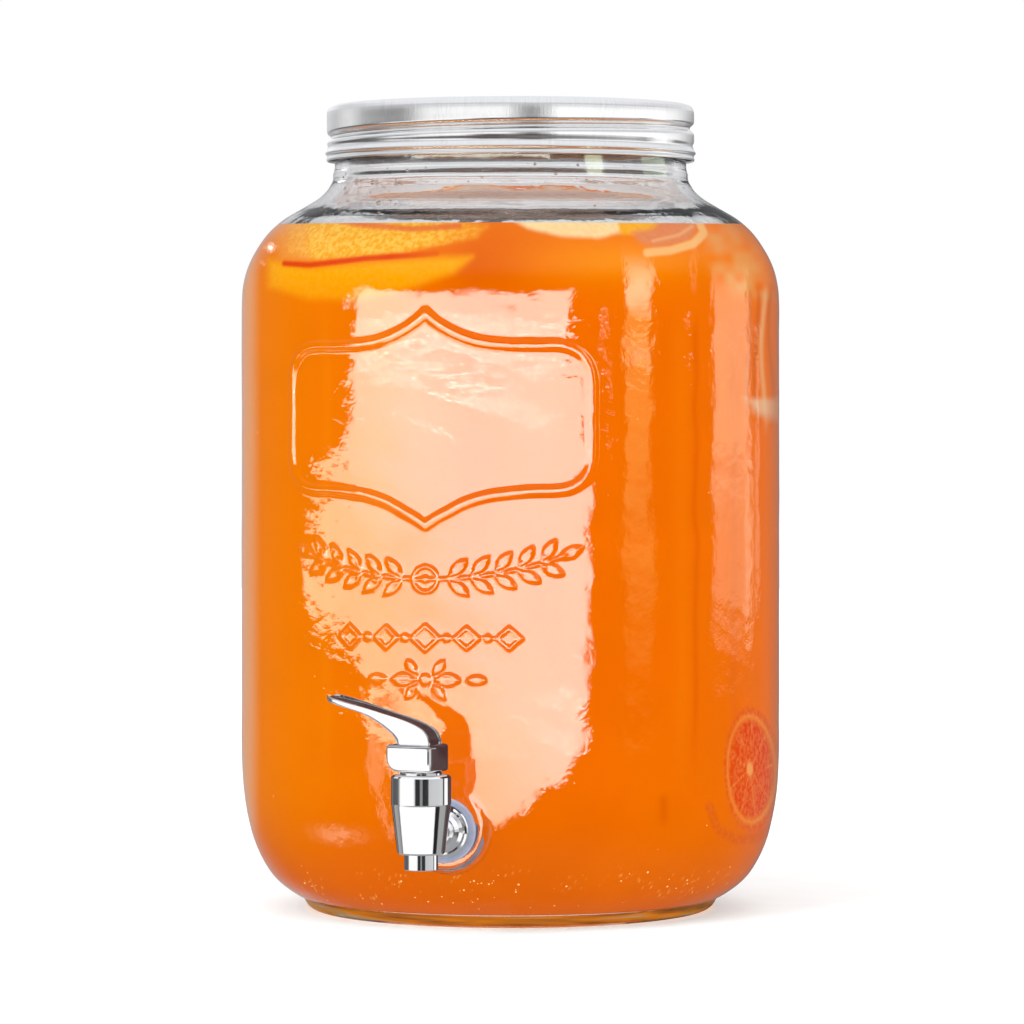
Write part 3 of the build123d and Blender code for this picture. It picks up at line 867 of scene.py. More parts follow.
def srgb(colour):
    """Linear colour from 0..255 values."""
    return np.array([((v / 255.0 + 0.055) / 1.055) ** 2.4 if v > 10 else v / 255.0 / 12.92
                     for v in colour])


def cell_noise(x, z, cell, cell_z=None, seed=0):
    """Smooth value noise, 0 to 1, over cells of the given size."""
    x = (x - NOISE_CORNER[0]) / cell
    y = (NOISE_CORNER[1] - z) / (cell_z or cell)
    xi, yi = np.floor(x).astype(int), np.floor(y).astype(int)
    fx, fy = x - xi, y - yi
    fx, fy = fx * fx * (3 - 2 * fx), fy * fy * (3 - 2 * fy)

    def corner(a, b):
        n = (a * 374761393 + b * 668265263 + seed * 1442695041) & 0xFFFFFFFF
        n = ((n ^ (n >> 13)) * 1274126177) & 0xFFFFFFFF
        return ((n ^ (n >> 16)) & 0xFFFF) / 65535.0
    near = corner(xi, yi) * (1 - fx) + corner(xi + 1, yi) * fx
    far = corner(xi, yi + 1) * (1 - fx) + corner(xi + 1, yi + 1) * fx
    return near * (1 - fy) + far * fy


def blob(x, z, centre_x, centre_z, width, height):
    """Squared distance from a point, in units of the width and height."""
    return ((x - centre_x) / width) ** 2 + ((z - centre_z) / height) ** 2


class JuicePainter:
    """Linear colour over (x, z), with an amount of grain in the fourth channel."""

    def __init__(self, x, z):
        self.x, self.z = x, z
        self.broad = cell_noise(x, z, 13.94, seed=1) - 0.5
        self.fine = cell_noise(x, z, 3.69, seed=2) - 0.5
        self.rgba = np.zeros(x.shape + (4,))

    def paint(self, mask, colour, grain=0.0):
        k = np.clip(mask, 0, 1)
        rgb = self.rgba[..., :3]
        self.rgba[..., :3] = rgb * (1 - k[..., None]) + srgb(colour) * k[..., None]
        self.rgba[..., 3] = self.rgba[..., 3] * (1 - k) + grain * k

    def area(self, outline, soft, wobble=0.0):
        distance = area_distance(self.x, self.z, outline)
        return 1 - sstep(-soft, soft, distance + wobble * self.fine)

    def line(self, points, half):
        soft = 0.615
        return 1 - sstep(half - soft, half + soft, line_distance(self.x, self.z, points))


def paint_base(p):
    # painted shading of the lit juice: yellower on the left and darker towards the bottom; it is
    # also lighter below the surface
    left, middle, right = srgb((239, 125, 2)), srgb((238, 104, 1)), srgb((243, 112, 1))
    t = np.clip((p.x + 106.805) / 213.2, 0, 1)[..., None]
    base = np.where(t < 0.42, left + (middle - left) * (t / 0.42),
                    middle + (right - middle) * ((t - 0.42) / 0.58))
    low = sstep(52.05, 0.8, p.z)[..., None]
    base = base * (1 - low) + low * srgb((226, 100, 1))
    up = (1 - sstep(275.5, 236.55, p.z))[..., None]
    base = base * (1 - 0.35 * up) + 0.35 * up * srgb((247, 140, 0))
    p.rgba[..., :3] = base * (1 + 0.05 * p.broad[..., None])


def paint_left_slices(p):
    x, z = p.x, p.z
    # darker heart between the slices
    p.paint(0.8 * np.exp(-blob(x, z, -12.505, 261.97, 25.42, 16.4) ** 1.2), (222, 92, 0))
    # lower slice, its upper edge crisp, fading downwards
    mask = p.area([(-101.885, 263.61), (-86.305, 261.15), (-63.755, 263.2), (-33.005, 265.66),
                   (-16.605, 266.07), (-24.805, 259.51), (-45.305, 252.95), (-64.985, 248.85),
                   (-86.305, 249.26), (-101.885, 253.77)], soft=2.46)
    p.paint(mask * (0.95 - 0.35 * sstep(264.43, 248.85, z)), (254, 174, 4), 0.15)
    # upper slice and its pale left end
    mask = p.area([(-96.145, 276.73), (-86.305, 280.83), (-56.785, 280.83), (-22.755, 279.19),
                   (-10.045, 277.55), (-14.965, 273.45), (-28.905, 270.99), (-45.305, 268.12),
                   (-64.985, 265.66), (-84.255, 264.84), (-94.505, 267.3)],
                  soft=1.64, wobble=0.615)
    p.paint(mask * (1 - 0.55 * sstep(-41.205, -10.045, x)), (251, 186, 36), 1.0)
    mask = p.area([(-101.885, 279.19), (-89.585, 280.83), (-86.305, 264.43),
                   (-97.785, 264.43)], soft=2.87)
    p.paint(mask * 0.7, (247, 160, 60), 0.3)
    # shadow line between the two, and a line along the top
    mask = p.line([(-96.145, 262.79), (-86.305, 262.38), (-74.005, 263.815),
                   (-63.755, 265.045), (-48.585, 266.07), (-32.185, 267.095)], half=1.066)
    p.paint(mask * (1 - 0.5 * sstep(-53.505, -30.545, x)), (224, 66, 0))
    mask = p.line([(-86.305, 280.01), (-64.985, 277.55), (-43.255, 276.32),
                   (-22.755, 277.55)], half=1.066)
    p.paint(mask * 0.8, (226, 92, 48))


def paint_right_slice(p):
    """Pale slice with its glow, flesh and curled rind."""
    p.paint(0.75 * np.exp(-blob(p.x, p.z, 46.945, 264.43, 33.62, 6.97)), (250, 148, 2))
    p.paint(p.area([(-2.255, 281.24), (20.295, 282.06), (49.815, 281.24), (48.995, 275.09),
                    (38.335, 273.04), (22.755, 273.86), (7.995, 276.73)],
                   soft=1.23, wobble=0.41), (254, 224, 165), 0.3)
    p.paint(p.area([(48.175, 281.24), (62.115, 282.47), (70.315, 280.42), (66.215, 275.91),
                    (53.095, 274.27), (48.175, 274.68)], soft=1.23), (253, 178, 28), 0.3)
    p.paint(p.area([(53.095, 275.09), (62.935, 276.73), (70.315, 280.83), (79.335, 281.24),
                    (83.025, 277.55), (77.695, 271.81), (64.575, 269.35), (57.195, 270.99)],
                   soft=1.64, wobble=0.615), (229, 134, 84), 0.12)
    p.paint(p.line([(77.695, 281.65), (83.435, 278.37), (84.255, 274.27), (79.335, 270.58),
                    (69.495, 268.12), (59.245, 267.3)], half=1.558) * 0.92, (249, 190, 118))
    p.paint(p.line([(62.115, 271.81), (73.595, 273.86), (80.155, 276.73)], half=0.533) * 0.7,
            (245, 180, 120))


def paint_right_wrinkles(p):
    """Cloudy wrinkles at the right shoulder and the thin streaks below them."""
    mask = p.area([(84.255, 275.09), (94.915, 279.19), (105.575, 264.43), (108.855, 248.85),
                   (95.735, 250.49), (86.715, 258.69)], soft=3.69, wobble=2.05)
    p.paint(mask * (0.40 + 0.9 * p.fine), (232, 168, 96))
    # x, half width, colour
    streaks = [(100.655, 0.984, (222, 120, 60)), (103.525, 0.738, (206, 92, 20)),
               (105.985, 0.82, (240, 190, 130)), (108.445, 0.656, (196, 96, 30))]
    extent = sstep(257.05, 248.85, p.z) * (1 - sstep(207.85, 191.45, p.z))
    for k, (streak_x, width, colour) in enumerate(streaks):
        sway = 0.82 * np.sin((NOISE_CORNER[1] - p.z) / 9.43 + k)
        p.paint(0.62 * np.exp(-((p.x - streak_x - sway) / width) ** 2) * extent, colour)
    p.paint(0.6 * p.area([(99.015, 208.67), (111.315, 208.67), (111.315, 199.65),
                          (103.935, 201.29)], soft=2.05, wobble=1.64), (236, 208, 170))


def paint_low_slice(p):
    """Slice near the bottom on the right: rind, pith ring, flesh with pale membranes."""
    u, v = (p.x - 101.065) / 10.25, (56.97 - p.z) / 25.42
    r = np.hypot(u, v)
    p.paint((1 - sstep(0.94, 1.02, r)) * 0.95, (233, 88, 2), 0.4)
    p.paint(np.exp(-((r - 0.84) / 0.045) ** 2) * 0.75, (248, 150, 60))
    p.paint((1 - sstep(0.72, 0.78, r)) * 0.9, (231, 66, 0), 0.55)
    spoke = np.abs(np.sin(np.arctan2(v, u) * 4.5 + 0.3)) * r
    membranes = (1 - sstep(0.03, 0.075, spoke)) * (r < 0.76) * sstep(0.10, 0.2, r)
    p.paint(membranes * 0.8, (247, 140, 66))
    p.paint((1 - sstep(0.08, 0.15, r)) * 0.9, (250, 170, 96))
    p.paint(p.line([(85.075, 41.39), (88.355, 32.37), (95.735, 28.27), (103.115, 29.5),
                    (108.855, 34.01)], half=1.845) * 0.55, (221, 84, 4), 0.3)


def paint_bands_and_fizz(p):
    x, z = p.x, p.z
    # soft upright bands, lighter and darker: x, half width, colour, strength
    bands = [(73.595, 3.69, (248, 126, 4), 0.35), (79.335, 1.23, (226, 92, 0), 0.5),
             (94.915, 1.64, (232, 104, 20), 0.5), (-56.785, 6.56, (243, 128, 8), 0.25),
             (-78.925, 2.05, (246, 134, 12), 0.3)]
    extent = sstep(248.85, 232.45, z) * (1 - sstep(84.85, 43.85, z))
    for band_x, width, colour, strength in bands:
        across = np.exp(-((x - band_x - 1.64 * p.broad) / width) ** 2)
        p.paint(strength * across * extent, colour)
    extent = sstep(47.95, 43.85, z) * (1 - sstep(37.7, 31.55, z))
    p.paint(0.5 * np.exp(-((x - 65.805) / 2.05) ** 2) * extent, (214, 84, 0))
    # painted reflection at the wall's edges: pale on the left, brownish on the right
    p.paint(0.75 * sstep(-104.345, -109.265, x), (240, 176, 124))
    p.paint(0.45 * sstep(105.575, 110.495, x), (206, 110, 40))
    # fizz near the bottom
    speckle = cell_noise(x, z, 0.615, seed=5)
    patches = sstep(0.50, 0.75, cell_noise(x, z, 12.3, 4.51, seed=9))
    zone = sstep(18.43, 12.69, z) * (1 - sstep(5.31, 2.03, z)) * patches
    p.paint(sstep(0.80, 0.95, speckle) * zone * 0.8, (253, 180, 90))


def juice_colours(x, z):
    painter = JuicePainter(x, z)
    for layer in (paint_base, paint_left_slices, paint_right_slice, paint_right_wrinkles,
                  paint_low_slice, paint_bands_and_fizz):
        layer(painter)
    painter.rgba[..., :3] = np.clip(painter.rgba[..., :3], 0, 1)
    return painter.rgba


def seen_through_wall(azimuth, z):
    """Where the camera sees a point of the juice through the glass, on the facing plane."""
    juice_r = 105.6
    angle = (np.degrees(azimuth) - CAMERA_AZ + 180) % 360 - 180
    # the far half repeats the near half
    angle = np.where(np.abs(angle) > 90, np.sign(angle) * (180 - np.abs(angle)), angle)
    entry = np.radians(np.linspace(-89.5, 89.5, 359))
    bent = np.arcsin(np.sin(entry) / GLASS_IOR)
    met = np.arcsin(np.clip(BODY_R / juice_r * np.sin(bent), -1, 1))
    on_juice = np.degrees(entry - (met - bent))
    on_wall = np.radians(np.interp(angle, on_juice, np.degrees(entry)))
    radius = outer_radius(z)
    depth = CAMERA_DISTANCE - radius * np.cos(on_wall)
    return (CAMERA_DISTANCE * radius * np.sin(on_wall) / depth,
            CAMERA_Z + CAMERA_DISTANCE * (z - CAMERA_Z) / depth)


# ------------------------------------------------------------------ juice
def liquid():
    cols = 900
    heights = np.concatenate([
        np.arange(6.25, 60, 0.9), np.arange(60, 210, 1.2), np.arange(210, LEVEL - 1.0, 0.6),
        [LEVEL - 0.7, LEVEL - 0.2, LEVEL + 0.25]])
    azimuths = np.linspace(0, TURN, cols, endpoint=False)
    radii = inner_radius(heights) + 0.28
    radii[0] = 76.0
    rim = radii[-1]
    bottom_z, top_z = 5.6, LEVEL - 0.6
    rings = [(20.0, bottom_z), (50.0, 5.5)] + list(zip(radii, heights))
    # the surface dips inside the climbing edge
    rings += [(rim - 1.2, LEVEL - 0.35), (rim - 3.0, LEVEL - 0.55)]
    rings += [(rim * share, top_z) for share in (0.7, 0.4, 0.12)]
    points = np.vstack([around(r, azimuths, z) for r, z in rings]
                       + [[(0, 0, bottom_z)], [(0, 0, top_z)]])
    count = len(rings) * cols
    faces = grid_faces(len(rings), cols).tolist()
    faces += end_fans(0, count, count - cols, count + 1, cols)
    ob = mesh_object("orange_liquid", points, faces)

    azimuth = np.arctan2(points[:, 0], -points[:, 1])
    radius = np.hypot(points[:, 0], points[:, 1])
    x, z = seen_through_wall(azimuth, points[:, 2])
    # the inner surface and bottom take one plain place of the pattern
    x[radius < 60], z[radius < 60] = -12.505, 9.0
    colours = juice_colours(x, z)
    # the back of the jar carries the fruit the other way round, blended in at the sides
    back = juice_colours(-0.86 * x, z - 2.46)
    off = np.abs((azimuth - math.radians(CAMERA_AZ) + math.pi) % TURN - math.pi)
    w = np.clip((off - math.radians(80)) / math.radians(16), 0, 1)[:, None]
    w = w * w * (3 - 2 * w)
    colours = colours * (1 - w) + back * w
    top = (points[:, 2] > LEVEL - 0.65) & (radius < rim - 0.5)
    colours[top] = (*srgb((236, 118, 10)), 0.2)
    store_colours(ob, "juice", colours)
    return ob


JUICE = liquid()
give(JUICE, LIQUID, "jar")
JUICE.data.materials.append(JUICE_TOP.block)
for face in JUICE.data.polygons:
    inside_edge = math.hypot(face.center.x, face.center.y) / MM < inner_radius(LEVEL) - 1.5
    if face.center.z / MM > LEVEL - 0.62 and face.normal.z > 0.9 and inside_edge:
        face.material_index = 1
JUICE.visible_diffuse = False      # keeps the floor white beside the jar


# ------------------------------------------------------------------ water beads and fizz
def beads(name, spots, shader):
    """Small balls flattened against the wall; spots are (azimuth in degrees, r, z, size)."""
    flatten = Matrix.Diagonal((1, 0.7, 1, 1))
    bm = bmesh.new()
    for azimuth, r, z, size in spots:
        t = math.radians(azimuth)
        place = Matrix.Translation(Vector((r * math.sin(t), -r * math.cos(t), z)) * MM)
        bmesh.ops.create_icosphere(bm, subdivisions=2, radius=size * MM,
                                   matrix=place @ Matrix.Rotation(t, 4, "Z") @ flatten)
    for face in bm.faces:
        face.smooth = True
    return give(bmesh_object(name, bm), shader, "jar")


def scatter(count, azimuths, heights, sizes, seed, inset):
    """Random spots on the inner wall, azimuths from the camera's side, set in by inset sizes."""
    random = np.random.default_rng(seed)
    spots = []
    for _ in range(count):
        azimuth = random.uniform(CAMERA_AZ + azimuths[0], CAMERA_AZ + azimuths[1])
        z = random.uniform(*heights)
        size = sizes[0] + (sizes[1] - sizes[0]) * random.random() ** 2.5
        spots.append((azimuth, float(inner_radius(z)) - inset * size, z, size))
    return spots


# groups: count, azimuths, heights, sizes, seed, inset; most water beads in view are on the left
DROPS = [(70, (-80, -34), (279, 303), (0.30, 1.15), 3, 0.35),
         (26, (-34, 80), (280, 302), (0.25, 0.75), 4, 0.35),
         (60, (90, 270), (279, 303), (0.30, 1.0), 5, 0.35)]
BUBBLES = [(150, (-62, 62), (9.5, 24), (0.16, 0.55), 8, -0.25),
           (40, (-70, 80), (24, 230), (0.16, 0.42), 9, -0.35),
           (110, (75, 285), (9.5, 26), (0.16, 0.5), 10, -0.25)]
beads("water_beads", [spot for group in DROPS for spot in scatter(*group)], WATER)
beads("fizz_bubbles", [spot for group in BUBBLES for spot in scatter(*group)], FIZZ)

# ------------------------------------------------------------------ lid
# (r, z), from the middle of the top over the edge, down the side and round the curled hem
LID_OUTSIDE = [
    (0.0, 327.4), (40.0, 327.4), (60.0, 327.4), (65.4, 327.42), (66.4, 327.75), (67.6, 328.25),
    (69.0, 328.4), (72.0, 328.4), (73.4, 328.15), (74.4, 327.4), (74.95, 326.2), (75.1, 324.6),
    (75.1, 321.0), (75.1, 317.0), (75.1, 313.2), (74.9, 311.8), (74.9, 310.8), (75.3, 309.8),
    (75.85, 309.1), (75.85, 308.5), (75.3, 307.9), (75.15, 307.2), (75.35, 306.4),
    (75.35, 305.8), (75.05, 305.45), (74.75, 305.6), (74.6, 306.3)]
LID_INSIDE = [
    (74.6, 306.6), (74.55, 308.0), (74.5, 318.0), (74.5, 325.4), (73.6, 327.3), (72.6, 327.75),
    (67.8, 327.75), (66.3, 327.0), (60.0, 326.8), (20.0, 326.8)]
LID_THREAD_Z = 310.6
LID_THREAD_DEPTH = 1.75


def lid_groove(azimuth, z, half_width):
    """Depth share of the thread pressed into the side."""
    groove = np.zeros(z.shape)
    for turn, turns in enumerate(thread_turns(azimuth)):
        middle = LID_THREAD_Z + THREAD_PITCH * turns
        fade = np.clip((1.30 - turns) / 0.12, 0, 1) * np.clip(turns / 0.06 + turn, 0, 1)
        groove = np.maximum(groove, fade * np.exp(-(np.abs(z - middle) / half_width) ** 2.4))
    return groove


def lid():
    cols = 400
    azimuths = np.linspace(0, TURN, cols, endpoint=False)
    outline = spline(LID_OUTSIDE, lambda point: 0.28 if point[0] > 66 else 5.0)[1:]
    radius, z, azimuth = sheet(outline, azimuths)
    side = sstep(74.6, 75.0, radius) * sstep(311.0, 312.4, z) * (1 - sstep(325.4, 326.4, z))
    groove = lid_groove(azimuth, z, half_width=1.45)
    radius = radius - LID_THREAD_DEPTH * groove * side + 0.12 * side
    outer = around(radius, azimuth, z).reshape(-1, 3)

    outline = spline(LID_INSIDE, lambda point: 0.5 if point[0] > 73
                     else (1.2 if point[0] > 66 else 10.0))
    radius, z, azimuth = sheet(outline, azimuths)
    side = sstep(74.1, 74.4, radius) * sstep(309.2, 311.6, z) * (1 - sstep(324.6, 325.6, z))
    radius = radius - LID_THREAD_DEPTH * lid_groove(azimuth, z, half_width=1.35) * side
    inner = around(radius, azimuth, z).reshape(-1, 3)

    points = np.vstack([outer, inner, [(0, 0, LID_OUTSIDE[0][1])], [(0, 0, LID_INSIDE[-1][1])]])
    base, count = len(outer), len(outer) + len(inner)
    faces = grid_faces(len(outer) // cols, cols).tolist()
    faces += grid_faces(len(inner) // cols, cols, base=base).tolist()
    faces += bridge(base - cols, base, cols).tolist()
    faces += end_fans(0, count, count - cols, count + 1, cols)
    ob = mesh_object("lid_tin", points, faces)
    face_outwards(ob, merge=1e-7)
    return ob


LID = lid()
give(LID, TIN, "lid")
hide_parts("lid_shell")

# ------------------------------------------------------------------ lever
# Drawn in its own frame: u along the lever from the barrel's axis, w across it, z up.
LEVER_ANGLE = math.radians(167.3)     # of the u axis, from +X
HOOD_WIDTH = 16.5
# (u, z) along the top and underside of the neck and paddle
PADDLE_TOP = [(-6.3, 75.6), (-6.25, 78.0), (-5.5, 80.4), (-3.9, 82.4), (-0.9, 84.2), (4.9, 86.3),
              (12.5, 88.3), (20.0, 90.3), (27.6, 92.2), (34.0, 93.8), (38.6, 94.9)]
PADDLE_UNDER = [(7.6, 75.6), (8.3, 78.4), (10.0, 80.6), (12.9, 82.9), (16.6, 85.3),
                (20.6, 87.5), (25.0, 89.1), (31.0, 90.7), (35.4, 91.9), (38.9, 92.9)]
# (u, half width)
PADDLE_WIDTH = [(-7, 5.35), (10, 5.3), (20, 5.9), (30, 6.85), (34, 6.8), (36.6, 6.0),
                (38.4, 4.4), (39.3, 2.4), (39.6, 1.2)]
PADDLE_SECTIONS = 56


def lever_hood(bm):
    """Rounded box with a curved lower corner at its +u end."""
    outline = [(-7.8, 66.5), (5.6, 66.5)]
    for t in np.linspace(-math.pi / 2, 0, 9)[1:]:
        outline.append((5.6 + 5.5 * math.cos(t), 72.0 + 5.5 * math.sin(t)))
    outline += [(11.1, 77.0), (-7.8, 77.0)]
    left = [bm.verts.new((u, HOOD_WIDTH / 2, z)) for u, z in outline]
    right = [bm.verts.new((u, -HOOD_WIDTH / 2, z)) for u, z in outline]
    cheeks = [bm.faces.new(left), bm.faces.new(list(reversed(right)))]
    flanks = []
    for i in range(len(outline)):
        k = (i + 1) % len(outline)
        flanks.append(bm.faces.new((left[k], left[i], right[i], right[k])))
    bm.normal_update()
    edges = set()
    for face in cheeks:
        edges |= set(face.edges)
    for face in flanks:
        for edge in face.edges:
            sharp = len(edge.link_faces) == 2 and edge.calc_face_angle(0) > 0.6
            if edge not in edges and sharp:
                edges.add(edge)
    bmesh.ops.bevel(bm, geom=list(edges), offset=1.25, offset_type="OFFSET", segments=4,
                    profile=0.5, affect="EDGES", clamp_overlap=True)


def paddle_section(top, under, top_w, under_w):
    """Rounded cross-section between a top and an underside point, as (u, w, z)."""
    thickness = np.linalg.norm(top - under)
    up = (top - under) / thickness
    r = min(0.62, 0.42 * thickness)
    corners = []
    for side, end in ((-1, 1), (1, 1), (1, -1), (-1, -1)):
        base, w = (top, top_w) if end > 0 else (under, under_w)
        angles = np.linspace(0, math.pi / 2, 5)
        if (side > 0) != (end > 0):
            angles = angles[::-1]
        for a in angles:
            u, z = base - end * up * (r - r * math.sin(a))
            corners.append((u, side * (w - r + r * math.cos(a)), z))
    # two more points near the ends of each straight keep the rounding tight
    section = []
    for i, point in enumerate(corners):
        section.append(point)
        if i % 5 == 4:
            following = corners[(i + 1) % 20]
            for share in (0.06, 0.94):
                section.append(tuple(a + (b - a) * share for a, b in zip(point, following)))
    return section


def lever_paddle(bm):
    """Stacked cross-sections along a curve, so that top and flanks stay smooth."""
    def even_points(points):
        line = spline(points, lambda point: 0.8)
        steps = np.linalg.norm(np.diff(line, axis=0), axis=1)
        d = np.concatenate([[0], np.cumsum(steps)])
        t = np.linspace(0, 1, PADDLE_SECTIONS) * d[-1]
        return np.stack([np.interp(t, d, line[:, 0]), np.interp(t, d, line[:, 1])], 1)

    widths = spline(PADDLE_WIDTH, lambda point: 0.6)

    def half_width(u):
        return np.interp(u, widths[:, 0], widths[:, 1])

    rings = []
    for top, under in zip(even_points(PADDLE_TOP), even_points(PADDLE_UNDER)):
        section = paddle_section(top, under, half_width(top[0]), half_width(under[0]))
        rings.append([bm.verts.new(point) for point in section])

    def join(a, b):
        for j in range(len(a)):
            k = (j + 1) % len(a)
            bm.faces.new((a[j], a[k], b[k], b[j]))

    for a, b in zip(rings, rings[1:]):
        join(a, b)
    bm.faces.new(list(reversed(rings[0])))
    # rounded tip: the last ring drawn in towards a point
    tip = []
    for v in rings[-1]:
        u, w, z = v.co
        tip.append(bm.verts.new((u * 0.25 + 39.35 * 0.75, w * 0.80,
                                 z * 0.25 + (z * 0.35 + 93.95 * 0.65) * 0.75)))
    join(rings[-1], tip)
    bm.faces.new(tip)


def lever():
    bm = bmesh.new()
    lever_hood(bm)
    lever_paddle(bm)
    bmesh.ops.recalc_face_normals(bm, faces=bm.faces)
    ca, sa = math.cos(LEVER_ANGLE), math.sin(LEVER_ANGLE)
    for v in bm.verts:
        u, w, z = v.co
        v.co = (MM * (u * ca - w * sa), MM * (BARREL_Y + u * sa + w * ca), MM * z)
    for face in bm.faces:
        face.smooth = face.calc_area() < 20e-6
    bmesh.ops.recalc_face_normals(bm, faces=bm.faces)
    return bmesh_object("lever_plated", bm)


LEVER = lever()
give(LEVER, LEVER_CHROME, "lever")
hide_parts("lever")


# ------------------------------------------------------------------ closing spring
def coil():
    """Drawn wire round the stem with closed ends, at one fixed length; the real spring is squeezed
    when the stem lifts.
    """
    turns, steps_per_turn, segments = 6.0, 30, 12
    coil_r, wire_r = 4.1, 0.42
    bottom, top = 42.9, 56.7
    count = int(turns * steps_per_turn)
    t = np.linspace(0, 1, count + 1)
    # the end turns are wound close
    z = bottom + (top - bottom) * (t - 0.045 * np.sin(TURN * t))
    a = t * turns * TURN
    centre = np.stack([coil_r * np.cos(a), BARREL_Y + coil_r * np.sin(a), z], 1)
    tangent = np.gradient(centre, axis=0)
    tangent /= np.linalg.norm(tangent, axis=1)[:, None]
    outward = np.stack([np.cos(a), np.sin(a), np.zeros(count + 1)], 1)
    third = np.cross(tangent, outward)
    p = np.linspace(0, TURN, segments, endpoint=False)[None, :, None]
    points = centre[:, None] + wire_r * (np.cos(p) * outward[:, None] + np.sin(p) * third[:, None])
    faces = grid_faces(count + 1, segments).tolist()
    faces += [tuple(range(segments)),
              tuple(count * segments + k for k in range(segments))[::-1]]
    ob = mesh_object("return_spring_wire", points.reshape(-1, 3), faces)
    face_outwards(ob)
    return ob


SPRING = coil()
give(SPRING, STEEL, "jar")
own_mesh(SPRING)
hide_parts("return_spring")


# ------------------------------------------------------------------ floor and lights
def pale_floor():
    half = 3200
    points = []
    for away in np.linspace(-half, half, 5):
        for right in (-half, half):
            points.append((*camera_frame(right, away), 0))
    faces = [(2 * i, 2 * i + 1, 2 * i + 3, 2 * i + 2) for i in range(4)]
    ob = mesh_object("studio_floor", points, faces)
    m = new_material("pale_paper")
    p = m.principled({"Roughness": 0.9, "Specular IOR Level": 0.1, "Emission Strength": 0.55})
    mottle = m.noise(scale=40, detail=4, roughness=0.6)
    m.link(m.ramp(mottle, [(0.3, (0.90, 0.90, 0.90)), (0.7, (0.93, 0.93, 0.93))]),
           p.inputs["Base Color"])
    flat = m.add("ShaderNodeVectorMath", operation="MULTIPLY")
    m.link(m.coords(), flat.inputs[0])
    flat.inputs[1].default_value = (1, 1, 0)
    length = m.add("ShaderNodeVectorMath", operation="LENGTH")
    m.link(flat.outputs[0], length.inputs[0])
    from_axis = length.outputs["Value"]
    # orange glow under the jar, white glow far from it
    under = m.ramp(m.times(from_axis, 5.0), [(0.395, (0.80, 0.26, 0.03)), (0.425, 0.0)])
    far = m.ramp(m.times(from_axis, 0.4), [(0.14, 0.0), (0.40, 0.55), (0.80, 1.0)])
    m.link(m.mix(1.0, under, far, "ADD"), p.inputs["Emission Color"])
    m.block.cycles.emission_sampling = "NONE"
    ob.data.materials.append(m.block)
    ob.visible_glossy = False


def area_light(name, azimuth, elevation, distance, size, power):
    """Square light aimed at the jar; angles in degrees, lengths in metres, power in watts."""
    light = bpy.data.lights.new(name, "AREA")
    light.shape = "RECTANGLE"
    light.size = size
    light.size_y = size
    light.energy = power
    ob = bpy.data.objects.new(name, light)
    a, e = math.radians(azimuth), math.radians(elevation)
    target = Vector((0, 0, 0.16))
    direction = Vector((math.sin(a) * math.cos(e), -math.cos(a) * math.cos(e), math.sin(e)))
    ob.location = target + direction * distance
    ob.rotation_euler = (target - ob.location).to_track_quat("-Z", "Y").to_euler()
    scene.collection.objects.link(ob)
    ob.visible_glossy = False
    ob.visible_camera = False
    ob.visible_transmission = False


pale_floor()
area_light("key_light", azimuth=CAMERA_AZ - 48, elevation=32, distance=1.9, size=1.3, power=20)
area_light("fill_light", azimuth=CAMERA_AZ + 55, elevation=22, distance=2.0, size=1.3, power=11)
area_light("top_light", azimuth=CAMERA_AZ, elevation=80, distance=1.8, size=1.6, power=16)


def show_only_in(ob, collection_name, receivers):
    """Let the object be seen only in the reflections of the receivers."""
    ob.visible_camera = ob.visible_diffuse = ob.visible_transmission = False
    ob.visible_shadow = ob.visible_volume_scatter = False
    ob.visible_glossy = True
    collection = bpy.data.collections.new(collection_name)
    for receiver in receivers:
        collection.objects.link(receiver)
    ob.light_linking.receiver_collection = collection


# ------------------------------------------------------------------ reflections in the glass
# outline of the window's reflection, clockwise from its upper left: (x, z) on the facing plane
WINDOW = [
    (-62.935, 252.54), (-45.305, 251.31), (-16.605, 252.54), (3.895, 250.9), (25.215, 252.54),
    (22.345, 239.83), (24.395, 232.04), (30.135, 218.1), (31.365, 199.65), (32.185, 166.85),
    (31.775, 84.85), (30.955, 65.17), (25.215, 55.33), (15.375, 47.95), (4.715, 40.57),
    (-4.305, 34.83), (-16.605, 28.27), (-33.005, 26.63), (-44.485, 29.5), (-48.585, 43.85),
    (-52.685, 58.2), (-55.965, 67.63), (-59.245, 78.7), (-60.885, 88.95), (-62.525, 101.25),
    (-70.725, 109.45), (-76.875, 116.83), (-83.025, 125.85), (-85.075, 136.1),
    (-85.075, 148.4), (-81.795, 160.7), (-77.285, 167.67), (-71.135, 179.15),
    (-67.855, 191.45), (-64.985, 207.85), (-62.935, 228.35)]
# where the window is cut away around the tap
TAP_CUT_UPPER = [(-60.885, 75.83), (-56.785, 73.78), (-46.125, 71.73), (-44.895, 65.17),
                 (-51.455, 60.25), (-56.785, 64.35), (-59.245, 69.27)]
TAP_CUT_LOWER = [(-53.505, 59.43), (-48.175, 58.2), (-47.765, 43.85), (-45.305, 23.35),
                 (-51.045, 27.45), (-53.505, 43.85)]
LOW_LEFT_STRIP = [(-56.785, 67.63), (-53.505, 60.25), (-51.865, 43.85), (-48.585, 29.09),
                  (-51.045, 28.27), (-55.145, 43.85), (-58.425, 60.25)]
# x, top z, bottom z, half width, brightness
THIN_LINES = [(38.335, 241.47, 223.43, 0.492, 0.30), (39.975, 222.2, 199.65, 0.656, 0.10),
              (97.375, 248.85, 109.45, 0.902, 0.12), (101.065, 236.55, 125.85, 0.615, 0.16),
              (74.825, 273.45, 252.95, 0.533, 0.10)]
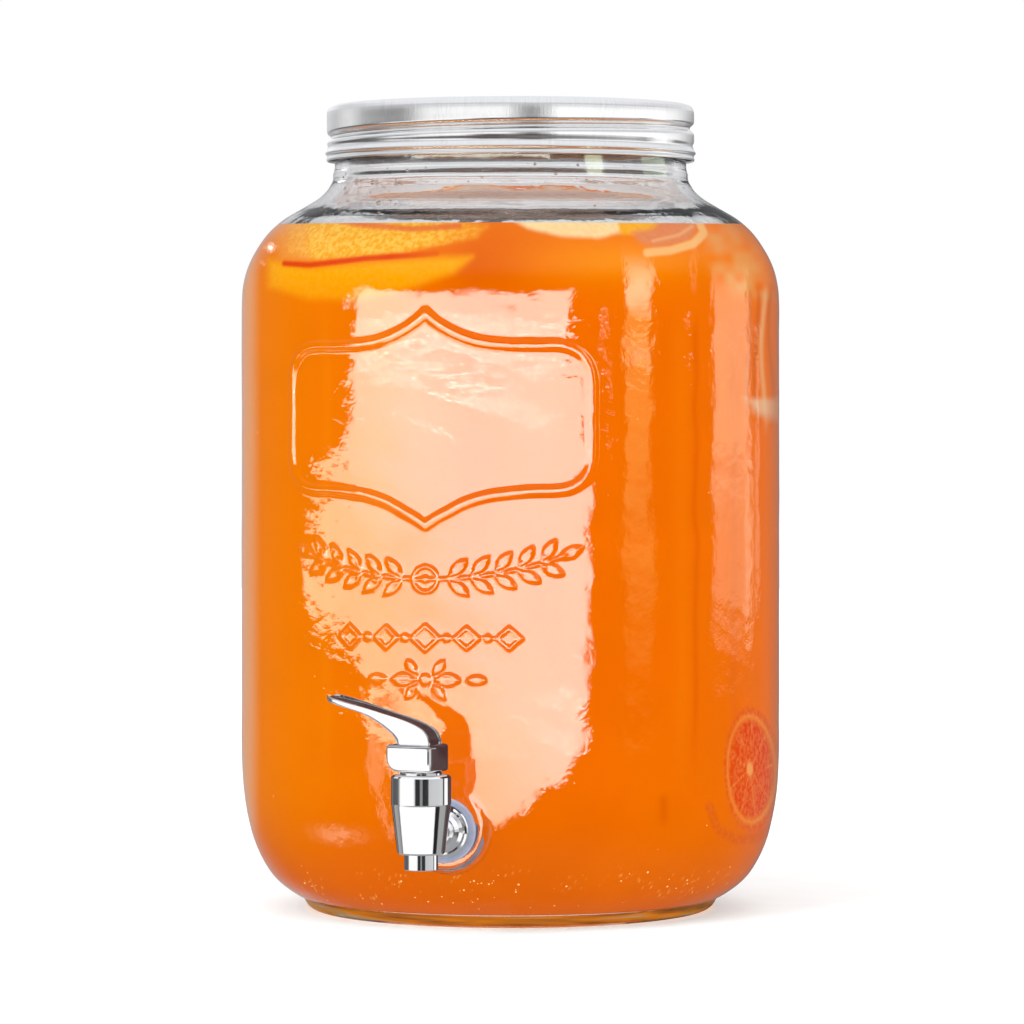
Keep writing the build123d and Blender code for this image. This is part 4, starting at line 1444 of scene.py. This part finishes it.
# x, z, radius, brightness
SPARKLES = [(-98.605, 271.4, 1.066, 0.9), (-101.475, 264.43, 0.656, 0.4),
            (-66.215, 249.67, 1.23, 0.5), (-62.935, 247.21, 0.82, 0.3),
            (59.245, 256.23, 0.615, 0.3), (72.775, 241.88, 0.574, 0.4),
            (-64.985, 214.41, 0.656, 0.3)]


def tinted(amount, tint):
    return amount[..., None] * np.array(tint)


def window_light(x, z, fine, broad):
    jag = 2.46 * fine * sstep(-154.755, -109.655, x - z)
    shape = 1 - sstep(-0.902, 0.902, area_distance(x, z, WINDOW) + 1.23 * fine + jag)
    warm = np.array([0.36, 0.36, 0.25])
    cool = np.array([0.46, 0.475, 0.43])
    coolness = sstep(-74.005, -4.305, x + 0.45 * (z - 142.25))[..., None]
    body = (warm + (cool - warm) * coolness) * (1 + 0.10 * broad[..., None])
    # bright spots: x, z, width, height, colour
    for *place, colour in ((-23.985, 227.53, 18.86, 10.66, (0.55, 0.60, 0.58)),
                           (-51.455, 243.93, 12.3, 5.74, (0.40, 0.48, 0.30))):
        spot = 0.30 * np.exp(-blob(x, z, *place))[..., None]
        body = body * (1 - spot) + spot * np.array(colour)
    upper = area_distance(x, z, TAP_CUT_UPPER)
    shape = shape * (1 - 0.9 * (1 - sstep(-1.23, 1.23, upper)))
    lower = area_distance(x, z, TAP_CUT_LOWER) + 1.64 * fine
    shape = shape * (1 - 0.85 * (1 - sstep(-1.23, 1.23, lower)))
    return body * shape[..., None]


def right_side_light(x, z, broad):
    # bright stroke on the shoulder, fading downwards
    middle = 52.48 + 0.615 * np.sin((NOISE_CORNER[1] - z) / 16.4)
    across = 1 - sstep(4.1, 6.56, np.abs(x - middle))
    light = tinted(across * 0.30 * np.exp(-((z - 253.77) / 10.66) ** 2), (0.85, 0.95, 0.80))
    extent = sstep(264.43, 256.23, z) * (1 - sstep(236.55, 60.25, z))
    light += tinted(across * extent * 0.13, (0.7, 0.85, 0.25))
    # soft band further right, in two lengths
    across = 1 - sstep(6.15, 7.79, np.abs(x - 89.995))
    extent = sstep(267.3, 248.85, z) * (1 - sstep(185.3, 179.15, z))
    light += tinted(across * extent * 0.20 * (1 + 0.3 * broad), (0.75, 0.90, 0.62))
    across = 1 - sstep(6.97, 9.02, np.abs(x - 91.225))
    extent = sstep(184.07, 180.79, z) * (1 - sstep(142.25, 88.95, z))
    light += tinted(across * extent * 0.13 * (1 + 0.3 * broad), (0.75, 0.90, 0.66))
    for line_x, top, bottom, width, brightness in THIN_LINES:
        extent = (sstep(top + 3.28, top - 3.28, z)
                  * (1 - sstep(bottom + 4.92, bottom - 4.92, z)))
        across = np.exp(-((x - line_x) / width) ** 2)
        light += tinted(brightness * across * extent, (0.8, 0.9, 0.75))
    return light


def wanted_light(x, z):
    """Light to add by reflection at (x, z) of the facing plane, linear."""
    fine = cell_noise(x, z, 2.46, seed=11) - 0.5
    broad = cell_noise(x, z, 24.6, seed=12) - 0.5
    light = window_light(x, z, fine, broad) + right_side_light(x, z, broad)
    # soft patches low on the left
    slanted_x = x + 0.55 * (z - 29.5)
    patch = np.exp(-blob(slanted_x, z, -70.725, 29.5, 8.2, 2.87))
    light += tinted(patch * 0.22, (0.7, 0.8, 0.6))
    strip = area_distance(x, z, LOW_LEFT_STRIP) + 2.05 * fine
    light += tinted((1 - sstep(-1.23, 1.23, strip)) * 0.14, (0.6, 0.7, 0.5))
    for spot_x, spot_z, radius, brightness in SPARKLES:
        spot = np.exp(-blob(x, z, spot_x, spot_z, radius, radius))
        light += tinted(brightness * spot, (1.0, 1.0, 0.95))
    return np.clip(light, 0, None)


def schlick(cosine):
    return 0.04 + 0.96 * (1 - cosine) ** 5


def fresnel(cosine):
    g = np.sqrt(GLASS_IOR * GLASS_IOR - 1 + cosine ** 2)
    ratio = (cosine * (g + cosine) - 1) / (cosine * (g - cosine) + 1)
    return 0.5 * ((g - cosine) / (g + cosine)) ** 2 * (1 + ratio ** 2)


def stations(*runs):
    """Positions made of runs of (start, step, count)."""
    return np.concatenate([start + step * np.arange(count) for start, step, count in runs])


def card_material():
    """Divides by the glass's own reflectance at the angle the ray left it, so that the image
    stays as bright from any side."""
    m = new_material("card_glow")
    glow = m.emission(m.add("ShaderNodeAttribute", attribute_name="glow").outputs["Color"])
    geometry = m.add("ShaderNodeNewGeometry")
    position = m.split(geometry.outputs["Position"])
    incoming = m.split(geometry.outputs["Incoming"])

    def flat_dot(a, b):
        return m.plus(m.times(a[0], b[0]), m.times(a[1], b[1]))

    # the ray meets the body's cylinder where a quadratic has its roots
    a = flat_dot(incoming, incoming)
    b = flat_dot(position, incoming)
    c = m.minus(flat_dot(position, position), (BODY_R * MM) ** 2)
    root = m.calc("SQRT", m.calc("MAXIMUM", m.minus(m.times(b, b), m.times(a, c)), 0.0))
    cosine = m.calc("MAXIMUM", m.calc("DIVIDE", root, BODY_R * MM), 0.12)
    cosine = m.calc("MINIMUM", cosine, 1.0)
    power = m.calc("POWER", m.minus(1.0, cosine), 5.0)
    reflectance = m.plus(0.04, m.times(0.96, power))
    m.link(m.calc("DIVIDE", 1.0, reflectance), glow.inputs["Strength"])
    m.add_light_only(glow)
    return m


def reflection_card():
    """Curved light card, seen only in the glass. Each point glows so that its mirror image
    gives wanted_light()."""
    card_r = 1200.0
    columns = stations((-106.805, 1.64, 13), (-86.305, 0.656, 195), (41.615, 0.82, 77))
    rows = stations((275.09, -1.23, 18), (252.95, -0.82, 115), (158.65, -0.902, 155))
    x, view_z = np.meshgrid(columns, rows)
    slope = x / CAMERA_DISTANCE

    def wall_angle(sine):
        return np.arcsin(np.clip(sine, -0.985, 0.985))

    # angle round the wall from the camera's side, refined as the depth becomes known
    angle = wall_angle(slope * CAMERA_DISTANCE / BODY_R)
    for _ in range(8):
        depth = CAMERA_DISTANCE - BODY_R * np.cos(angle)
        angle = wall_angle(slope * depth / BODY_R)
    depth = CAMERA_DISTANCE - BODY_R * np.cos(angle)
    z = CAMERA_Z + (view_z - CAMERA_Z) * depth / CAMERA_DISTANCE
    radius = outer_radius(z)
    angle = wall_angle(slope * depth / radius)
    tilt = -np.arctan2(outer_radius(z + 2) - outer_radius(z - 2), 4.0)
    # reflect the view direction in the local normal
    wall = around(radius, angle, z)
    view = np.array([0, -CAMERA_DISTANCE, CAMERA_Z]) - wall
    view /= np.linalg.norm(view, axis=-1)[..., None]
    normal = around(np.cos(tilt), angle, np.sin(tilt))
    dot = (view * normal).sum(-1)
    out = 2 * dot[..., None] * normal - view
    # follow it to the card's cylinder
    a = out[..., 0] ** 2 + out[..., 1] ** 2
    b = wall[..., 0] * out[..., 0] + wall[..., 1] * out[..., 1]
    c = wall[..., 0] ** 2 + wall[..., 1] ** 2 - card_r ** 2
    hit = wall + out * ((-b + np.sqrt(b * b - a * c)) / a)[..., None]
    points = np.stack([*camera_frame(hit[..., 0], hit[..., 1]), hit[..., 2]], -1)
    gain = schlick(np.clip(dot, 0.12, 1)) / fresnel(np.clip(dot, 0.05, 1))
    light = wanted_light(x, view_z) * gain[..., None]
    faces = grid_faces(len(rows), len(columns), wrap=False).tolist()
    ob = mesh_object("reflection_card", points.reshape(-1, 3), faces)
    store_colours(ob, "glow", np.concatenate([light, np.ones(light.shape[:2] + (1,))], -1))
    ob.data.materials.append(card_material().block)
    show_only_in(ob, "reflects_in_glass", [JAR])


reflection_card()

# ------------------------------------------------------------------ reflections in the metal
# (degrees from the camera's side, brightness)
UPPER_BAND = [(-180, 0.25), (-140, 0.55), (-118, 0.75), (-100, 0.48), (-80, 0.30), (-68, 0.28),
              (-52, 0.95), (-2, 1.15), (3, 0.75), (6, 0.34), (10, 0.42), (13, 0.26), (18, 0.36),
              (24, 0.95), (30, 1.25), (60, 1.10), (100, 1.15), (128, 0.75), (145, 0.50),
              (165, 0.12), (180, 0.10)]
TAP_BAND = [(-180, 0.02), (-120, 0.05), (-96, 0.12), (-88, 0.35), (-80, 1.2), (-30, 1.25),
            (-24, 0.9), (-20, 0.04), (-6, 0.03), (-3, 0.32), (3, 0.32), (6, 0.03), (24, 0.05),
            (28, 0.66), (86, 0.74), (90, 0.05), (96, 0.05), (99, 1.3), (118, 1.2), (123, 0.02),
            (180, 0.02)]
CONE_BAND = [(-180, 0.03), (-128, 0.06), (-122, 0.40), (-98, 0.34), (-92, 0.12), (-88, 1.2),
             (48, 1.25), (53, 1.1), (56, 0.02), (73, 0.02), (77, 0.42), (108, 0.36),
             (113, 0.03), (180, 0.02)]
COOL = (0.99, 0.99, 1.0)


def band_stops(band, tint):
    return [(degrees / 360.0 + 0.5, tuple(value * t for t in tint)) for degrees, value in band]


def surround_material(name, on_lever, on_lid):
    """One pattern above the horizon, one below it and one steeper down."""
    m = new_material(name + "_glow")
    direction = m.add("ShaderNodeVectorMath", operation="NORMALIZE")
    m.link(m.coords(), direction.inputs[0])
    xyz = m.split(direction.outputs[0])
    z = xyz[2]
    turn = m.camera_turn(xyz)
    upper = UPPER_BAND
    if on_lid:      # more contrast
        upper = [(a, v * 1.22 if v > 0.7 else v * 0.82) for a, v in upper]
    upper = m.ramp(turn, band_stops(upper, COOL))
    tap = m.ramp(turn, band_stops(TAP_BAND, COOL))
    cone = m.ramp(turn, band_stops(CONE_BAND, (1.0, 0.985, 0.975)))
    glow = m.mix(m.step(z, -0.03, 0.03), tap, upper)
    if on_lid:
        glow = m.mix(m.step(z, 0.10, 0.24), glow, (0.66, 0.67, 0.69))
    else:
        glow = m.mix(m.step(z, 0.42, 0.75), glow, (0.80, 0.81, 0.83))
    glow = m.mix(m.step(z, -0.22, -0.27), glow, cone)
    glow = m.mix(m.step(z, -0.50, -0.62), glow, (0.30, 0.30, 0.31))
    if on_lever:
        # dark patches above the horizon
        mottle = m.noise(scale=2.2, detail=3, roughness=0.6, at=direction.outputs[0])
        patches = m.ramp(mottle, [(0.42, (0.035, 0.035, 0.045)), (0.56, (0.10, 0.09, 0.10)),
                                  (0.64, (0.55, 0.55, 0.57))])
        glow = m.mix(m.step(z, -0.02, 0.05), glow, patches)
    if on_lid:
        # the rolls of the lid look down on the filled jar
        dark = m.ramp(turn, [(0.10, (0.30, 0.30, 0.31)), (0.28, (0.10, 0.10, 0.11)),
                             (0.44, (0.05, 0.05, 0.06)), (0.60, (0.22, 0.22, 0.23)),
                             (0.80, (0.50, 0.50, 0.50))])
        glow = m.mix(m.step(z, -0.10, -0.26), glow, dark)
        glow = m.mix(m.step(z, -0.34, -0.48), glow, (0.62, 0.25, 0.09))
    m.add_light_only(m.emission(glow))
    return m


def surround(name, radius, collection_name, receivers, on_lever=False, on_lid=False):
    """Glowing sphere that only the receivers reflect; radius in metres."""
    bm = bmesh.new()
    bmesh.ops.create_uvsphere(bm, u_segments=64, v_segments=32, radius=radius)
    ob = bmesh_object(name, bm)
    ob.location = (0, 0, 0.2)
    ob.data.materials.append(surround_material(name, on_lever, on_lid).block)
    show_only_in(ob, collection_name, receivers)


TAP_METAL = [SPRING] + [frame["nodes"][k]
                        for k in ("tap_body", "spout_nozzle", "swivel_collar", "lever_pin")]
surround("metal_surround", 1.7, "reflects_in_metal", TAP_METAL)
surround("lid_surround", 1.6, "reflects_in_lid", [LID], on_lid=True)
surround("lever_surround", 1.5, "reflects_in_lever", [LEVER], on_lever=True)


# ------------------------------------------------------------------ world and camera
def world():
    """White to the eye, a soft grey for diffuse light, and a dark room for reflections."""
    scene.world = bpy.data.worlds.new("studio")
    m = Shader(scene.world, output="ShaderNodeOutputWorld")
    xyz = m.split(m.add("ShaderNodeTexCoord").outputs["Generated"])
    # (degrees from the camera's side, brightness)
    walls = [(-180, 0.50), (-160, 0.35), (-140, 0.10), (-105, 0.02), (-70, 0.0), (70, 0.0),
             (105, 0.04), (140, 0.16), (180, 0.20)]
    room = m.ramp(m.camera_turn(xyz), band_stops(walls, (0.98, 0.99, 1.02)))
    # ceiling and floor
    room = m.mix(m.step(xyz[2], 0.30, 0.62), room, (0.30, 0.31, 0.33))
    room = m.mix(m.times(m.step(xyz[2], -0.35, -0.6), 0.8), room, (0.10, 0.10, 0.10))
    path = m.add("ShaderNodeLightPath").outputs
    colour = m.mix(path["Is Glossy Ray"], (0.80, 0.80, 0.80), room)
    seen = m.calc("MAXIMUM", path["Is Camera Ray"], path["Is Transmission Ray"])
    background = m.add("ShaderNodeBackground")
    m.link(m.mix(seen, colour, (1.0, 1.0, 1.0)), background.inputs[0])
    m.link(background.outputs[0], m.out)


def camera():
    data = bpy.data.cameras.new("camera")
    data.lens = 175.8
    data.sensor_width = 36.0
    data.shift_y = -0.124
    data.shift_x = 0.0015
    ob = bpy.data.objects.new("camera", data)
    x, y = camera_frame(0, -CAMERA_DISTANCE * MM)
    ob.location = (x, y, CAMERA_Z * MM)
    ob.rotation_euler = (math.pi / 2, 0, math.radians(CAMERA_AZ))
    scene.collection.objects.link(ob)
    scene.camera = ob


world()
camera()
scene.view_settings.view_transform = "Standard"
